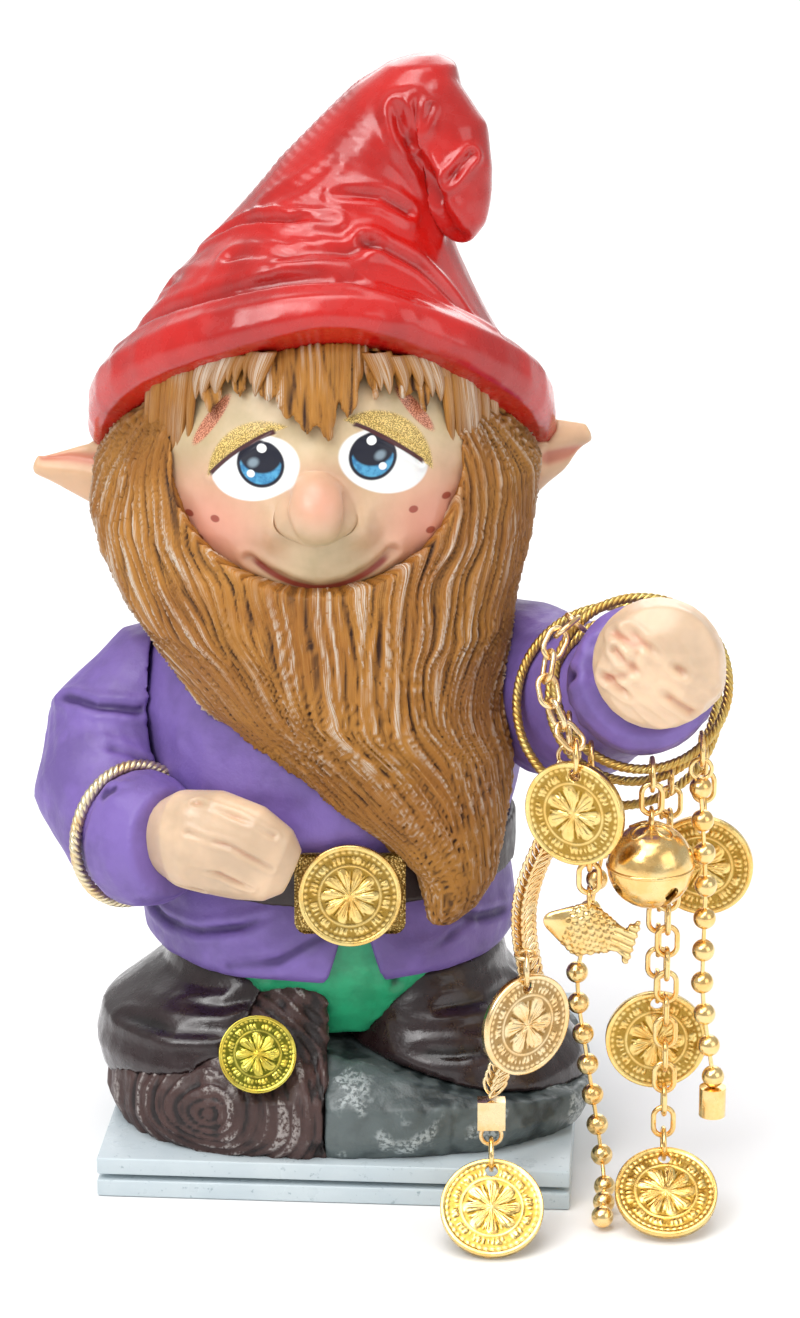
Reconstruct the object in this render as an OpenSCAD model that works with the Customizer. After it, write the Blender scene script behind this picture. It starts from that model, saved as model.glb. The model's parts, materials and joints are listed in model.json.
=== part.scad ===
// Garden gnome: painted resin castings on a folded board plinth, with coins, a bell, a fish
// charm and chains hung from the wrist. Millimetres, +Z up, the figure faces -Y.
// Left and right are the gnome's own, so its left hand is at +X.

/* [Figure] */
// Height of the figure, from the underside of its base to the top of the hat
figure_h = 180; // [160:1:220]
// Radius of the left cuff on a figure 180 high; the cuff grows with the figure
cuff_r = 11.8; // [9.8:0.05:12.4]
// Wall of the hollow coat casting
coat_wall = 4; // [3:0.5:6]
// Height of the belt
belt_h = 8; // [5:0.5:9]

/* [Plinth] */
// Width of the plinth
plinth_w = 80; // [70:1:100]
// Depth of the plinth
plinth_d = 80; // [76:1:100]
// Thickness of each leaf of the plinth
leaf_t = 3; // [2:0.25:5]
// Thickness of the dark core between the leaves
core_t = 1; // [0.5:0.25:2]
// Turn of the plinth under the figure
plinth_turn = 4; // [0:1:8]

/* [Coins] */
// Diameter of a hanging coin
coin_d = 17; // [14:0.5:18]
// Thickness of a hanging coin
coin_t = 1; // [0.8:0.1:1.6]
// Diameter of the hole in a coin
coin_hole_d = 2.2; // [1.8:0.1:2.6]
// Diameter of the coin on the log
log_coin_d = 13; // [10:0.5:15]

/* [Rings and chains] */
// Middle diameter of a jump ring
ring_d = 5.2; // [4.8:0.1:6]
// Wire of a jump ring
ring_wire = 0.8; // [0.6:0.05:0.9]
// Wire of a chain link
link_wire = 0.9; // [0.7:0.05:1]
// Outer width of a chain link
link_w = 4.2; // [4:0.1:5]
// Outer length of a chain link
link_l = 6; // [5.8:0.1:7]
// Play between two linked wires
play = 0.15; // [0.1:0.05:0.3]
// Diameter of a ball chain bead
bead_d = 3.7; // [3:0.1:4]
// Spacing of the beads
bead_pitch = 5.6; // [5:0.1:7]
// Diameter of the pins that join the beads
pin_d = 0.7; // [0.5:0.05:0.9]
// Width of the wheat chain
wheat_w = 4; // [3:0.25:5]

/* [Bell and fish] */
// Diameter of the bell
bell_d = 14; // [12:0.5:15]
// Wall of the bell
bell_wall = 0.6; // [0.5:0.1:1]
// Diameter of the loose pellet in the bell
pellet_d = 4; // [3:0.25:5]
// Length of the fish, from mouth to tail
fish_l = 16; // [13:0.5:18]

/* [Hidden] */

// Casting shapes below are drawn for a figure 180 high and grow with it
k = figure_h / 180;
plinth_h = 2 * leaf_t + core_t;
SIDES = 36;
EPS = 0.01;

function unit(v) = v / norm(v);
function sum(v, n) = n < 0 ? 0 : v[n] + sum(v, n - 1);
// A point of the figure, from its drawn place above the plinth
function at(p) = [p.x * k, p.y * k, plinth_h + (p.z - 7) * k];
function signed_power(c, p) = sign(c) * pow(abs(c), p);

// A tilted oval ring of points: centre, half width, half depth, tilt about X, squareness
function oval(c, rx, ry, tilt = 0, square = 2) = [for (i = [0:SIDES - 1])
    let (a = 360 * i / SIDES,
         u = rx * signed_power(cos(a), 2 / square),
         v = ry * signed_power(sin(a), 2 / square))
    at([c.x + u, c.y + v * cos(tilt), c.z - v * sin(tilt)])];

// Skin over rings of equally many points, closed by flat caps
module skin(rings) {
    n = len(rings[0]);
    m = len(rings);
    polyhedron(
        points = [for (r = rings) each r],
        faces = concat(
            [[for (i = [0:n - 1]) i]],
            [for (j = [0:m - 2], i = [0:n - 1]) let (i2 = (i + 1) % n)
                each [[j * n + i, (j + 1) * n + i, (j + 1) * n + i2], [j * n + i, (j + 1) * n + i2,
                    j * n + i2]]],
            [[for (i = [n - 1:-1:0]) (m - 1) * n + i]]));
}

// Level ovals: rows of height, x, y, half width, half depth
function level(rows, grow = 0, square = 2) =
    [for (r = rows) oval([r[1], r[2], r[0]], r[3] + grow, r[4] + grow, 0, square)];

// Ovals across a path: rows of centre, half width, half height
function across(rows, sides = 24) = let (last = len(rows) - 1) [for (j = [0:last])
    let (t = unit(rows[min(j + 1, last)][0] - rows[max(j - 1, 0)][0]),
         side = unit(cross(t, [0, 0.001, 1])),
         up = cross(side, t))
    [for (i = [0:sides - 1]) let (a = -360 * i / sides)
        at(rows[j][0] + side * rows[j][1] * cos(a) + up * rows[j][2] * sin(a))]];

// A casting cut back to meet its neighbours, kept as one mesh
module fitted() {
    resize([0, 0, 0]) difference() {
        children(0);
        if ($children > 1) children([1:$children - 1]);
    }
}

// ---- Figure outlines ----
log_rows = [[7, -1, -6, 40, 31.5], [11, -1, -6, 41.5, 33], [17, -1, -6, 41, 32.5], [22, -1, -5, 38,
    29], [24.5, -1, -4, 33, 24]];
stump_path = [[[-14, -21, 8], 14, 13], [[-12, -21, 16], 14, 13], [[-10, -20.5, 24], 11.5, 11], [[-7,
    -19, 31], 8, 8], [[-5, -17, 36], 4.5, 5]];
rock_rows = [[7, 1, -6, 39.5, 31.5], [11, 1, -6, 41.5, 33], [16, 1, -6, 41, 32.5], [19, 0, -5, 38,
    30], [22.5, -3, -4, 30, 25]];
right_boot_rows = [[10, -22, -9, 17, 19], [15, -23, -10, 20, 21.5], [20, -23.3, -10, 20.8, 22], [25,
    -22.5, -9, 20.5, 21.5],
    [29, -20, -7, 17, 20], [32, -17.5, -5, 14.8, 19.5], [35, -17, -4, 14.6, 19.5], [36.5, -17, -4,
        13.4, 18.5]];
left_boot_rows = [[8, 21, -9, 18, 19], [12, 21, -10, 20.8, 21.5], [17, 19.5, -10, 21, 22], [22, 17,
    -9, 19.5, 21.5],
    [27, 14.5, -7, 16.5, 20], [31, 12.5, -5, 15, 19.5], [34.5, 12, -4, 14.8, 19.5], [36, 12, -4,
        13.6, 18.5]];
trouser_rows = [[24, -2.5, -3.5, 25, 20], [34, -2.5, -3.5, 27.5, 24], [38, -2.7, -3, 28.8, 26], [44,
    -2.8, -2.5, 28.4, 26], [50, -3, -2, 26, 24]];
coat_rows = [[36, -3.7, -2, 31, 28.6], [37.5, -3.7, -2, 32.2, 30], [42, -3.7, -2, 32.4, 30.2], [47,
    -3.5, -2, 31.6, 29.6],
    [50, -3.2, -2, 30.6, 29], [58, -3, -2, 30.4, 29.2], [62, -3, -2, 31.6, 30.6], [70, -3, -1.5, 33,
        31], [79, -3, -1, 33.5, 28],
    [87, -3, 0, 31.5, 24], [94, -3.5, 0, 26, 20], [101, -4, 0, 18, 15], [106, -4, 0, 14, 12]];
head_rows = [[100, -5, -13, 8, 7], [102.5, -5, -11.5, 15, 14.5], [107, -5, -8, 22, 21], [113, -5,
    -4.5, 28, 25.5],
    [120, -5, -2.5, 31, 27.5], [128, -5, -0.5, 32, 28.5], [136, -5, 1, 30, 27], [144, -5, 1, 24.5,
        20.5], [151, -5, 1.5, 17, 14], [156, -5, 2, 8, 7]];
beard_rows = [
    [48.5, 15.5, -33.5, 2.2, 2.8], [51.5, 17.2, -32, 4.6, 5.4], [56, 18, -29.5, 6.8, 8], [62, 15,
        -26.5, 11, 11], [68.5, 9.6, -23, 17.6, 14.2],
    [75.5, 5.5, -19.5, 22, 17.2], [82.5, 0.3, -15.5, 26, 21], [90, -2.5, -11.5, 29.5, 24.5], [98,
        -4.9, -7, 33, 28], [105, -5.8, -3.5, 36, 30],
    [112, -6.2, -1, 37.6, 31], [120, -5.2, 0.5, 37.6, 30], [128, -5, -1, 34, 26.5], [136, -5, -3, 29,
        22.5]];
// Hat rows: height, x, y, half width, half depth, tilt of the ring
hat_rows = [[121.5, -4.5, 2, 36, 36.5, 37], [121.5, -4.5, 2, 38.4, 39, 37], [123.5, -4.5, 3, 39.8,
    40.6, 37], [128, -4.6, 4.5, 39.4, 40, 36],
    [132.5, -5, 5.5, 35.4, 36, 34], [136, -5.1, 6, 32, 32, 31], [142, -5, 6, 29, 29, 26], [148.5,
        -4.4, 6, 25.4, 25.5, 20],
    [155, -3, 6, 21.2, 21.5, 14], [162, -0.8, 6, 17, 17.5, 8], [169.5, 2.2, 6, 13.9, 14, 4], [176.5,
        6.3, 6, 11.1, 11.5, 0],
    [182, 10, 5.5, 8.7, 9.5, 0], [185.6, 12.2, 5, 5.6, 6.5, 0], [187, 13, 5, 2, 2.5, 0]];
hat_tip_path = [[[9, 4, 179], 5.5, 5.5], [[14, 1.5, 178.5], 6.6, 6.4], [[17.4, -0.5, 174], 6.2, 6],
    [[18.2, -2, 168.5], 5.6, 5.6],
    [[18.8, -2.8, 163.5], 4.9, 4.9], [[19.4, -3, 160], 3.6, 3.6], [[19.6, -3, 158], 1.6, 1.6]];
right_sleeve_path = [[[-22, 2, 83], 9, 10], [[-32, 0.5, 79], 12, 12.5], [[-39.8, -4, 71], 12.8,
    13.4], [[-41.4, -11, 63], 12.2, 13],
    [[-38.5, -18.5, 59.5], 10.6, 11.6], [[-35.6, -23, 59.5], 9.4, 10.4]];
right_cuff_path = [[[-35.9, -22.5, 59.5], 9.6, 10.6], [[-35, -24, 59.7], 10.8, 11.4], [[-32.2, -27.4,
    60.5], 10.4, 10.8], [[-29.6, -30.4, 61.2], 8.4, 9]];
right_hand_path = [[[-31, -29, 61.5], 5, 6], [[-27, -32.5, 62.6], 6.4, 8.2], [[-21.5, -35.6, 63],
    5.6, 9], [[-16, -37.4, 61.8], 5, 8.4],
    [[-11.5, -38.4, 60], 4.2, 6.6], [[-9.2, -38.4, 59], 2.4, 4]];
// The left arm and fist follow the cuff, from the radius they are drawn for
drawn_cuff_r = 11.8;
arm = cuff_r / drawn_cuff_r;
left_sleeve_rows = [[[20, 4, 85], 9, 10], [[29, -1, 81.5], 12.6, 13.5], [[35.5, -11, 80.5], 13.2,
    14], [[40.6, -22, 83.5], 12, 12.8],
    [[44.2, -32, 87.4], 9.8, 10.2], [[46, -38, 90.4], 9.2, 9.4]];
left_sleeve_path = [for (r = left_sleeve_rows) [r[0], r[1] * arm, r[2] * arm]];
wrist_end = [47.4, -43.5, 93.4];
wrist_way = unit([0, -0.9, 0.436]);
left_cuff_rows = [[-4.5, -2.2], [-3, -0.6], [0, 0], [4, -0.2], [6, -1.8]];
left_fist_rows = [[[48.4, -47.5, 97], 8, 8.4], [[49, -50, 98.3], 10, 10], [[49.4, -54, 99.6], 10.4,
    10.4], [[49.2, -57.6, 100.2], 9, 9.4], [[49, -60, 100.4], 5, 5.6]];
left_fist_path = [for (r = left_fist_rows) [r[0], r[1] * arm, r[2] * arm]];

// ---- Plinth ----
module plinth_slab(low, high, inset) {
    rotate([0, 0, -plinth_turn]) translate([-plinth_w / 2 + inset, -plinth_d / 2 + inset, low])
        cube([plinth_w - 2 * inset, plinth_d - 2 * inset, high - low]);
}
module plinth_bottom_leaf() color("lightsteelblue") plinth_slab(0, leaf_t, 0);
module plinth_core() color("black") plinth_slab(leaf_t, leaf_t + core_t, core_inset);
module plinth_top_leaf() color("lightsteelblue") plinth_slab(leaf_t + core_t, plinth_h, 0);
core_inset = 4;

// ---- Base and legs ----
seam_x = -4;
rock_slope = 12;
module side_of_seam(left) {
    far = 60 * k;
    translate([seam_x * k + (left ? -far : 0), -far, plinth_h]) cube([far, 2 * far, 2 * far]);
}
module base_log() color("saddlebrown") fitted() {
    intersection() {
        union() {
            skin(level(log_rows, 0, 2.7));
            skin(across(stump_path));
        }
        side_of_seam(true);
    }
    right_toe_room();
}
module right_toe_room() translate(at([-31, -4, 30])) sphere(r = 10 * k, $fn = 28);
module base_rock() color("slategray") resize([0, 0, 0]) intersection() {
    skin(level(rock_rows, 0, 2.7));
    side_of_seam(false);
    translate(at([-10, -60, 7])) rotate([0, rock_slope, 0]) translate([-10, 0,
        -40 * k]) cube([80 * k, 120 * k, 56.5 * k]);
}
module right_boot() color("#2a1c1a") fitted() {
    skin(level(right_boot_rows));
    base_log();
    base_rock();
}
module left_boot() color("#2a1c1a") fitted() {
    skin(level(left_boot_rows));
    base_rock();
    base_log();
    skin(level(right_boot_rows));
}
module trousers() color("mediumseagreen") fitted() {
    skin(level(trouser_rows));
    skin(level(right_boot_rows));
    skin(level(left_boot_rows));
    base_log();
}

// ---- Coat and belt ----
belt_low = 50;
vent_x = 1;
vent_top = 49;
module coat() color("#6f5a9e") fitted() {
    skin(level(coat_rows));
    skin(level(trouser_rows));
    skin(level([for (r = coat_rows) if (r[0] >= 50 && r[0] <= 94) r], -coat_wall));
    coat_vent();
}
module coat_vent() translate(at([vent_x, 0, 0]))
    rotate([90, 0, 0]) linear_extrude(height = 60 * k)
        polygon([[-7 * k, (30) * k], [-0.6 * k, vent_top * k], [0.6 * k, vent_top * k], [7 * k, 30 * k]]);
belt_stand = 1.2;
module belt() color("#332a2c") resize([0, 0, 0]) difference() {
    intersection() {
        skin(level(coat_rows, belt_stand));
        translate([-60 * k, -60 * k, at([0, 0, belt_low]).z]) cube([120 * k, 120 * k, belt_h * k]);
    }
    skin(level(coat_rows));
    skin(level([for (r = coat_rows) if (r[0] >= 50 && r[0] <= 94) r], -coat_wall));
    skin(level(beard_rows));
    skin(across(right_hand_path));
}
buckle_at = [0.3, -34.8, 53.6];
plate_w = 18.5;
plate_h = 13.5;
plate_t = 1.8;
buckle_lean = 8;
module on_belly(p) translate(at(p)) rotate([90 - buckle_lean, 0, 0]) children();
module buckle_plate() color("goldenrod") on_belly(buckle_at) translate([0, 0,
    -plate_t * k]) linear_extrude(height = plate_t * k)
    square([plate_w * k, plate_h * k], center = true);
module buckle_coin() color("gold") on_belly(buckle_at) minted(coin_d, coin_t);
// A coin lying on its face: disc, raised rim and a ring of beads
rim_w = 0.8;
rim_h = 0.25;
module minted(d, t) {
    translate([0, 0, EPS]) {
        cylinder(h = t, r = d / 2, $fn = 64);
        translate([0, 0, t]) difference() {
            cylinder(h = rim_h, r = d / 2, $fn = 64);
            translate([0, 0, -1]) cylinder(h = rim_h + 2, r = d / 2 - rim_w, $fn = 64);
        }
    }
}
log_coin_at = [-15.4, -35.6, 25.2];
module log_coin() color("yellowgreen") translate(at(log_coin_at)) rotate([62, 0,
    8]) minted(log_coin_d, coin_t);

// ---- Right arm ----
module right_sleeve() color("#6f5a9e") fitted() {
    skin(across(right_sleeve_path));
    skin(level(coat_rows));
    skin(level(beard_rows));
    skin(level(coat_rows, belt_stand));
}
module right_cuff() color("#6f5a9e") fitted() {
    skin(across(right_cuff_path));
    skin(across(right_sleeve_path));
    skin(level(coat_rows, belt_stand));
}
cord_r = 0.9;
right_cord_at = [-36.6, -21.3, 59.5];
right_cord_r = 11.4;
module right_cuff_cord() color("goldenrod") fitted() {
    translate(at(right_cord_at)) rotate([0, 0, 33]) rotate([90, 0, 0]) scale([0.94, 1.04, 1])
        rotate_extrude($fn = 48) translate([right_cord_r * k, 0]) circle(r = cord_r, $fn = 16);
    skin(level(coat_rows, belt_stand));
    skin(across(right_cuff_path));
    skin(across(right_sleeve_path));
}
module right_hand() color("peachpuff") fitted() {
    skin(across(right_hand_path));
    skin(across(right_cuff_path));
    skin(level(coat_rows, belt_stand));
}

// ---- Left arm ----
module left_sleeve() color("#6f5a9e") fitted() {
    skin(across(left_sleeve_path));
    skin(level(coat_rows));
    skin(level(beard_rows));
    skin(level(coat_rows, belt_stand));
}
cuff_lean = acos(wrist_way.z);
module along_wrist(p) translate(at(wrist_end)) rotate([cuff_lean, 0, 0]) translate(p) children();
module left_cuff() color("#6f5a9e") fitted() {
    along_wrist([0, 0, 0]) rotate_extrude($fn = 48)
        polygon(k * concat([[0, left_cuff_rows[0][0]]], [for (r = left_cuff_rows) [cuff_r + r[1], r[0]]],
            [[0, left_cuff_rows[4][0]]]));
    skin(across(left_sleeve_path));
}
module left_hand() color("peachpuff") fitted() {
    skin(across(left_fist_path));
    left_cuff();
    skin(across(left_sleeve_path));
}

// ---- Head ----
nose_at = [-5, -30.5, 118.5];
module head() color("wheat") fitted() {
    union() {
        skin(level(head_rows));
        translate(at(nose_at)) sphere(r = 5.6 * k, $fn = 24);
    }
    skin(level([for (r = coat_rows) if (r[0] >= 79) r]));
}
function ear_path(s, tip) = [[[s * 27 - 5, 4, 117], 2.5, 7.5], [[s * 33 - 5, 3.6, 118], 3, 7.5],
    [[s * 39 - 5, 4, tip.z - 2], 2.2, 5], [tip, 0.7, 1.4]];
right_ear_path = ear_path(-1, [-53.4, 4, 117.5]);
left_ear_path = ear_path(1, [40.5, 4, 123]);
module ear(path) color("peachpuff") fitted() {
    skin(across(path));
    skin(level(beard_rows));
    hat_shape();
}
module right_ear() ear(right_ear_path);
module left_ear() ear(left_ear_path);

face_x = -5;
face_z = 124;
face_half_w = 24;
face_half_h = 19.5;
module face_window() translate(at([face_x, 0, face_z])) rotate([90, 0, 0])
    linear_extrude(height = 60 * k) scale([face_half_w / face_half_h, 1]) circle(r = face_half_h * k,
        $fn = 48);
module beard() color("peru") fitted() {
    beard_round_face();
    skin(level(head_rows));
    skin(level(coat_rows));
    hat_shape();
    buckle_plate();
    buckle_coin();
}
// Locks of hair that hang from under the brim on to the forehead: across, lowest point
fringe_tips = [[-22, 133], [-17.5, 136], [-13.5, 136], [-9.5, 133], [-6.5, 130.5], [-3, 129.5], [0.5,
    133], [4.5, 136], [9, 136], [13, 133]];
fringe_t = 2.2;
fringe_top = 152;
notch = 3.5;
module hair_fringe() color("peru") fitted() {
    intersection() {
        skin(level(head_rows, fringe_t));
        translate([0, 0, plinth_h - 7 * k]) rotate([90, 0,
            0]) linear_extrude(height = 60 * k) scale([k, k]) polygon(concat(
            [[fringe_tips[len(fringe_tips) - 1].x + 2, fringe_top], [fringe_tips[0].x - 2, fringe_top]],
            [for (i = [0:len(fringe_tips) - 1]) each [[fringe_tips[i].x - 1.8,
                fringe_tips[i].y + notch], fringe_tips[i]]]));
    }
    skin(level(head_rows));
    hat_shape();
    beard_round_face();
}
module beard_round_face() resize([0, 0, 0]) difference() {
    skin(level(beard_rows));
    face_window();
}
module hat_shape() {
    skin([for (r = hat_rows) oval([r[1], r[2], r[0]], r[3], r[4], r[5])]);
}
module hat() color("firebrick") fitted() {
    union() {
        hat_shape();
        skin(across(hat_tip_path));
    }
    skin(level(head_rows));
}

// ---- Rings, links and beads ----
module torus(r, tube) rotate_extrude($fn = 48) translate([r, 0]) circle(r = tube, $fn = 16);
link_a = (link_l - link_wire) / 2;
link_r = (link_w - link_wire) / 2;
link_pitch = link_l - 2 * link_wire - play;
// One oval link, its long way along Z and its width along X
module link() {
    straight = link_a - link_r;
    for (e = [0, 1]) {
        translate([0, 0, (e - 0.5) * 2 * straight]) rotate([90, 0, e * 180])
            rotate([0, 0, (1 - e) * 180]) rotate_extrude(angle = 180, $fn = 32) translate([link_r,
                0]) circle(r = link_wire / 2, $fn = 14);
        translate([(e - 0.5) * 2 * link_r, 0, -straight]) cylinder(h = 2 * straight,
            r = link_wire / 2, $fn = 14);
    }
}
ring_w = ring_wire / 2;
// Height of the lowest pieces above the table
floor_gap = 0.5;
// A wire's centre to the inside of a ring that hangs on it: on a link, and on the cord
on_link = link_wire / 2 + play;
cord_wire = 1.6;
on_cord = cord_wire / 2 + 3 * play;
// The same where the cord slants up the side of the wrist
on_slant = on_cord + 0.5;
on_steep = on_cord + 1.12;
// A wider jump ring for where the cord stands steeply
big_ring_d = ring_d + 1.2;
// Places below a hook at p
function ring_foot(p, up, d = ring_d) = p + [0, 0, up + ring_w - d];
// Odd number of links that reach from a foot down to height z
function links_to(foot, z) = max(1,
    2 * floor((foot.z + on_link + ring_w - 2 * link_a - z) / link_pitch / 2) + 1);
function first_link(foot) = foot + [0, 0, on_link + ring_w - link_a];
function chain_foot(foot, count) = first_link(foot) - [0, 0, (count - 1) * link_pitch + link_a];
coin_hole_in = (coin_d - coin_hole_d) / 2 - 0.9;
function coin_centre(foot) = foot - [0, 0, coin_hole_in + coin_hole_d / 2 - ring_w - play];

// From a link's wire down to the edge of a coin that hangs from it on a ring
coin_drop = coin_d / 2 - coin_centre(ring_foot([0, 0, 0], on_link)).z;

// Turns a coin and its ring forward about the wire at p
module leaning(p, lean) translate(p) rotate([-lean, 0, 0]) translate(-p) children();
module hung_ring(p, up, d = ring_d) translate(ring_foot(p, up, d) + [0, 0, d / 2]) rotate([0, 90,
    0]) torus(d / 2, ring_w);
// Links below a ring's foot, every other one turned; an odd count ends with its wire along X
module hung_links(foot, count, yaw = 0) for (i = [0:count - 1])
    translate(first_link(foot) - [0, 0, i * link_pitch]) rotate([0, 0, yaw + i % 2 * 90]) link();
// A coin on a ring's foot, facing -Y before its turn
module hung_coin(foot, yaw = 0) translate(coin_centre(foot)) rotate([90, 0, yaw]) difference() {
    translate([0, 0, -coin_t / 2]) union() {
        cylinder(h = coin_t, r = coin_d / 2, $fn = 64);
        difference() {
            translate([0, 0, -rim_h]) cylinder(h = coin_t + 2 * rim_h, r = coin_d / 2, $fn = 64);
            translate([0, 0, -coin_t]) cylinder(h = coin_t * 3, r = coin_d / 2 - rim_w, $fn = 64);
        }
    }
    translate([0, coin_hole_in, -coin_t * 2]) cylinder(h = coin_t * 4, r = coin_hole_d / 2, $fn = 32);
}

// ---- Wrist chain, and the cord wound round the wrist ----
wrist_c = at(wrist_end);
wrist_up = [0, wrist_way.z, -wrist_way.y];
function round_wrist(c, r, a) = c + r * (cos(a) * [1, 0, 0] + sin(a) * wrist_up);
// Turns of the cord: centre and radius. The front turn leaves room for the rings inside it.
cord_gap = 0.1;
cord_front = [wrist_c + k * (0.4 * wrist_way - [0, 0, 0.4]), cuff_r * k + cord_gap + ring_wire + on_cord];
cord_mid = [wrist_c - k * (10.6 * wrist_way + [0.8, 0, 1.4]), (cuff_r + 1) * k + cord_wire / 2];
cord_back = [wrist_c - k * (18 * wrist_way + [2.8, 0, 1.4]), (cuff_r + 4.1) * k + cord_wire / 2];
// The chain starts round the cord at the upper left, comes forward and lies round the cuff's left side.
// Rows of angle, distance out from the cord, distance forward of it.
chain_rows = [[136, 0, -0.9], [136, 0.3, 1.6], [144, 1, 4.4], [160, 1.4, 5.6], [182, 1.6, 5.9],
    [206, 1.4, 6], [228, 1.2, 6], [250, 1.2, 6]];
chain_way = smooth([for (r = chain_rows) round_wrist(cord_front[0] + r[2] * wrist_way,
    cord_front[1] + r[1], r[0])], 8);
// An odd number of links, so that the last one stands like the first
chain_reach = 221;
chain_run = (chain_reach - chain_rows[0][0]) / 180 * PI * (cord_front[1] + 1.2) + 4;
wrist_links = 2 * round((chain_run / link_pitch - 1) / 2) + 1;
wrist_joints = [for (i = [0:wrist_links]) on_way(chain_way, i * link_pitch)];
module wrist_chain() color("gold") for (i = [0:wrist_links - 1]) {
    p = (wrist_joints[i] + wrist_joints[i + 1]) / 2;
    t = unit(wrist_joints[i + 1] - wrist_joints[i]);
    out = unit(cross(t, cross(p - wrist_c, t)));
    w = i % 2 == 0 ? out : cross(out, t);
    d = cross(t, w);
    multmatrix([[w.x, d.x, t.x, p.x], [w.y, d.y, t.y, p.y], [w.z, d.z, t.z, p.z]]) link();
}
function cord_hook(turn, a) = round_wrist(turn[0], turn[1], a);
module cord_turn(turn) color("goldenrod") translate(turn[0]) rotate([cuff_lean, 0, 0]) torus(turn[1],
    cord_wire / 2);
module wrist_cord_front() cord_turn(cord_front);
module wrist_cord_middle() cord_turn(cord_mid);
module wrist_cord_back() cord_turn(cord_back);

// ---- Front coin, on the last link of the wrist chain ----
last_way = unit(wrist_joints[wrist_links] - wrist_joints[wrist_links - 1]);
last_middle = (wrist_joints[wrist_links] + wrist_joints[wrist_links - 1]) / 2;
front_up = 0.75;
front_lift = 0.4;
// The ring's top lies just inside the end of the link
front_hook = last_middle + (link_a - link_wire / 2 - ring_w - 2 * play) * last_way
    + [0, 0, front_lift - front_up - ring_w];
front_yaw = -28;
module front_coin_ring() color("gold") hung_ring(front_hook, front_up);
module front_coin() color("gold") hung_coin(ring_foot(front_hook, front_up), front_yaw);

// ---- Bell ----
bell_hook = cord_hook(cord_front, 276.5);
bell_foot = ring_foot(bell_hook, on_cord);
bell_r = bell_d / 2;
loop_r = 1.7;
loop_wire = 0.7;
bell_loop_at = chain_foot(bell_foot, 1) - [0, 0, loop_r - loop_wire / 2 - on_link];
bell_c = bell_loop_at - [0, 0, loop_r - loop_wire + bell_r];
module bell_chain() color("gold") {
    hung_ring(bell_hook, on_cord);
    hung_links(bell_foot, 1);
}
bell_slot = 1.3;
slot_hole_r = 1.2;
module bell_shell() color("gold") translate(bell_c) difference() {
    union() {
        sphere(r = bell_r, $fn = 48);
        translate([0, 0, bell_r + loop_r - loop_wire]) rotate([90, 0, 90]) torus(loop_r, loop_wire / 2);
    }
    sphere(r = bell_r - bell_wall, $fn = 48);
    for (a = [30, 120]) rotate([0, 0, a]) translate([-bell_r, -bell_slot / 2, -bell_d])
        cube([bell_d, bell_slot, bell_d - bell_r * 0.42]);
    for (a = [30:90:300]) rotate([0, 90, a]) translate([bell_r * 0.42, 0,
        bell_r / 2]) cylinder(h = bell_r, r = slot_hole_r, $fn = 24);
}
module bell_pellet() color("silver") translate(bell_c - [0, 0,
    bell_r - bell_wall - pellet_d / 2 - play]) sphere(r = pellet_d / 2, $fn = 24);

// ---- Fish charm ----
fish_hook = cord_hook(cord_front, 234);
fish_links = 5;
fish_foot = ring_foot(fish_hook, on_cord);
fish_eye_at = chain_foot(fish_foot, fish_links) - [0, 0, loop_r - loop_wire / 2 - on_link];
fish_h = fish_l * 0.6;
fish_t = fish_l * 0.18;
fish_c = fish_eye_at - [0, 0, loop_r + fish_h / 2 - loop_wire];
module fish_chain() color("gold") {
    hung_ring(fish_hook, on_cord);
    hung_links(fish_foot, fish_links);
}
module fish() color("gold") {
    translate(fish_eye_at) rotate([90, 0, 90]) torus(loop_r, loop_wire / 2);
    translate(fish_c) rotate([0, 16, 0]) {
        hull() for (p = [[-0.28, 0.45], [-0.05, 1], [0.2, 0.6]])
            translate([p.x * fish_l, 0, 0]) scale([fish_l * 0.2, fish_t / 2 * sqrt(p.y),
                fish_h / 2 * p.y]) sphere(r = 1, $fn = 24);
        hull() {
            translate([0.3 * fish_l, 0, 0]) sphere(r = 0.8, $fn = 16);
            for (s = [-1, 1]) translate([0.46 * fish_l, 0, s * 0.2 * fish_l]) sphere(r = 0.6, $fn = 16);
        }
    }
}

// ---- Wheat chain with its crimp and two coins ----
function smooth(points, steps = 3) = let (m = len(points) - 1) concat([for (i = [0:m - 1],
    s = [0:steps - 1])
    let (u = s / steps, a = points[max(i - 1, 0)], b = points[i], c = points[i + 1],
        d = points[min(i + 2, m)])
    0.5 * (2 * b + u * (c - a) + u * u * (2 * a - 5 * b + 4 * c - d) + u * u * u * (3 * b - a - 3 * c
        + d))], [points[m]]);
module tube(points, rx, ry, sides = 12) let (last = len(points) - 1) skin([for (j = [0:last])
    let (t = unit(points[min(j + 1, last)] - points[max(j - 1, 0)]),
         side = unit(cross(t, [0, -1, 0])),
         out = cross(side, t))
    [for (i = [0:sides - 1]) let (a = -360 * i / sides) points[j] + side * rx * cos(a) + out * ry *
        sin(a)]]);
wheat_hook = cord_hook(cord_front, 213);
wheat_foot = ring_foot(wheat_hook, on_steep, big_ring_d);
wheat_t = 2.2;
crimp_l = 5;
crimp_w = wheat_w + 0.6;
crimp_t = wheat_t + 0.6;
// What hangs below the chain: crimp, eye, ring and coin
low_lean = 48;
wheat_below = crimp_l + 2 * loop_r + coin_drop * cos(low_lean);
wheat_low = wheat_below + floor_gap;
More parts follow.
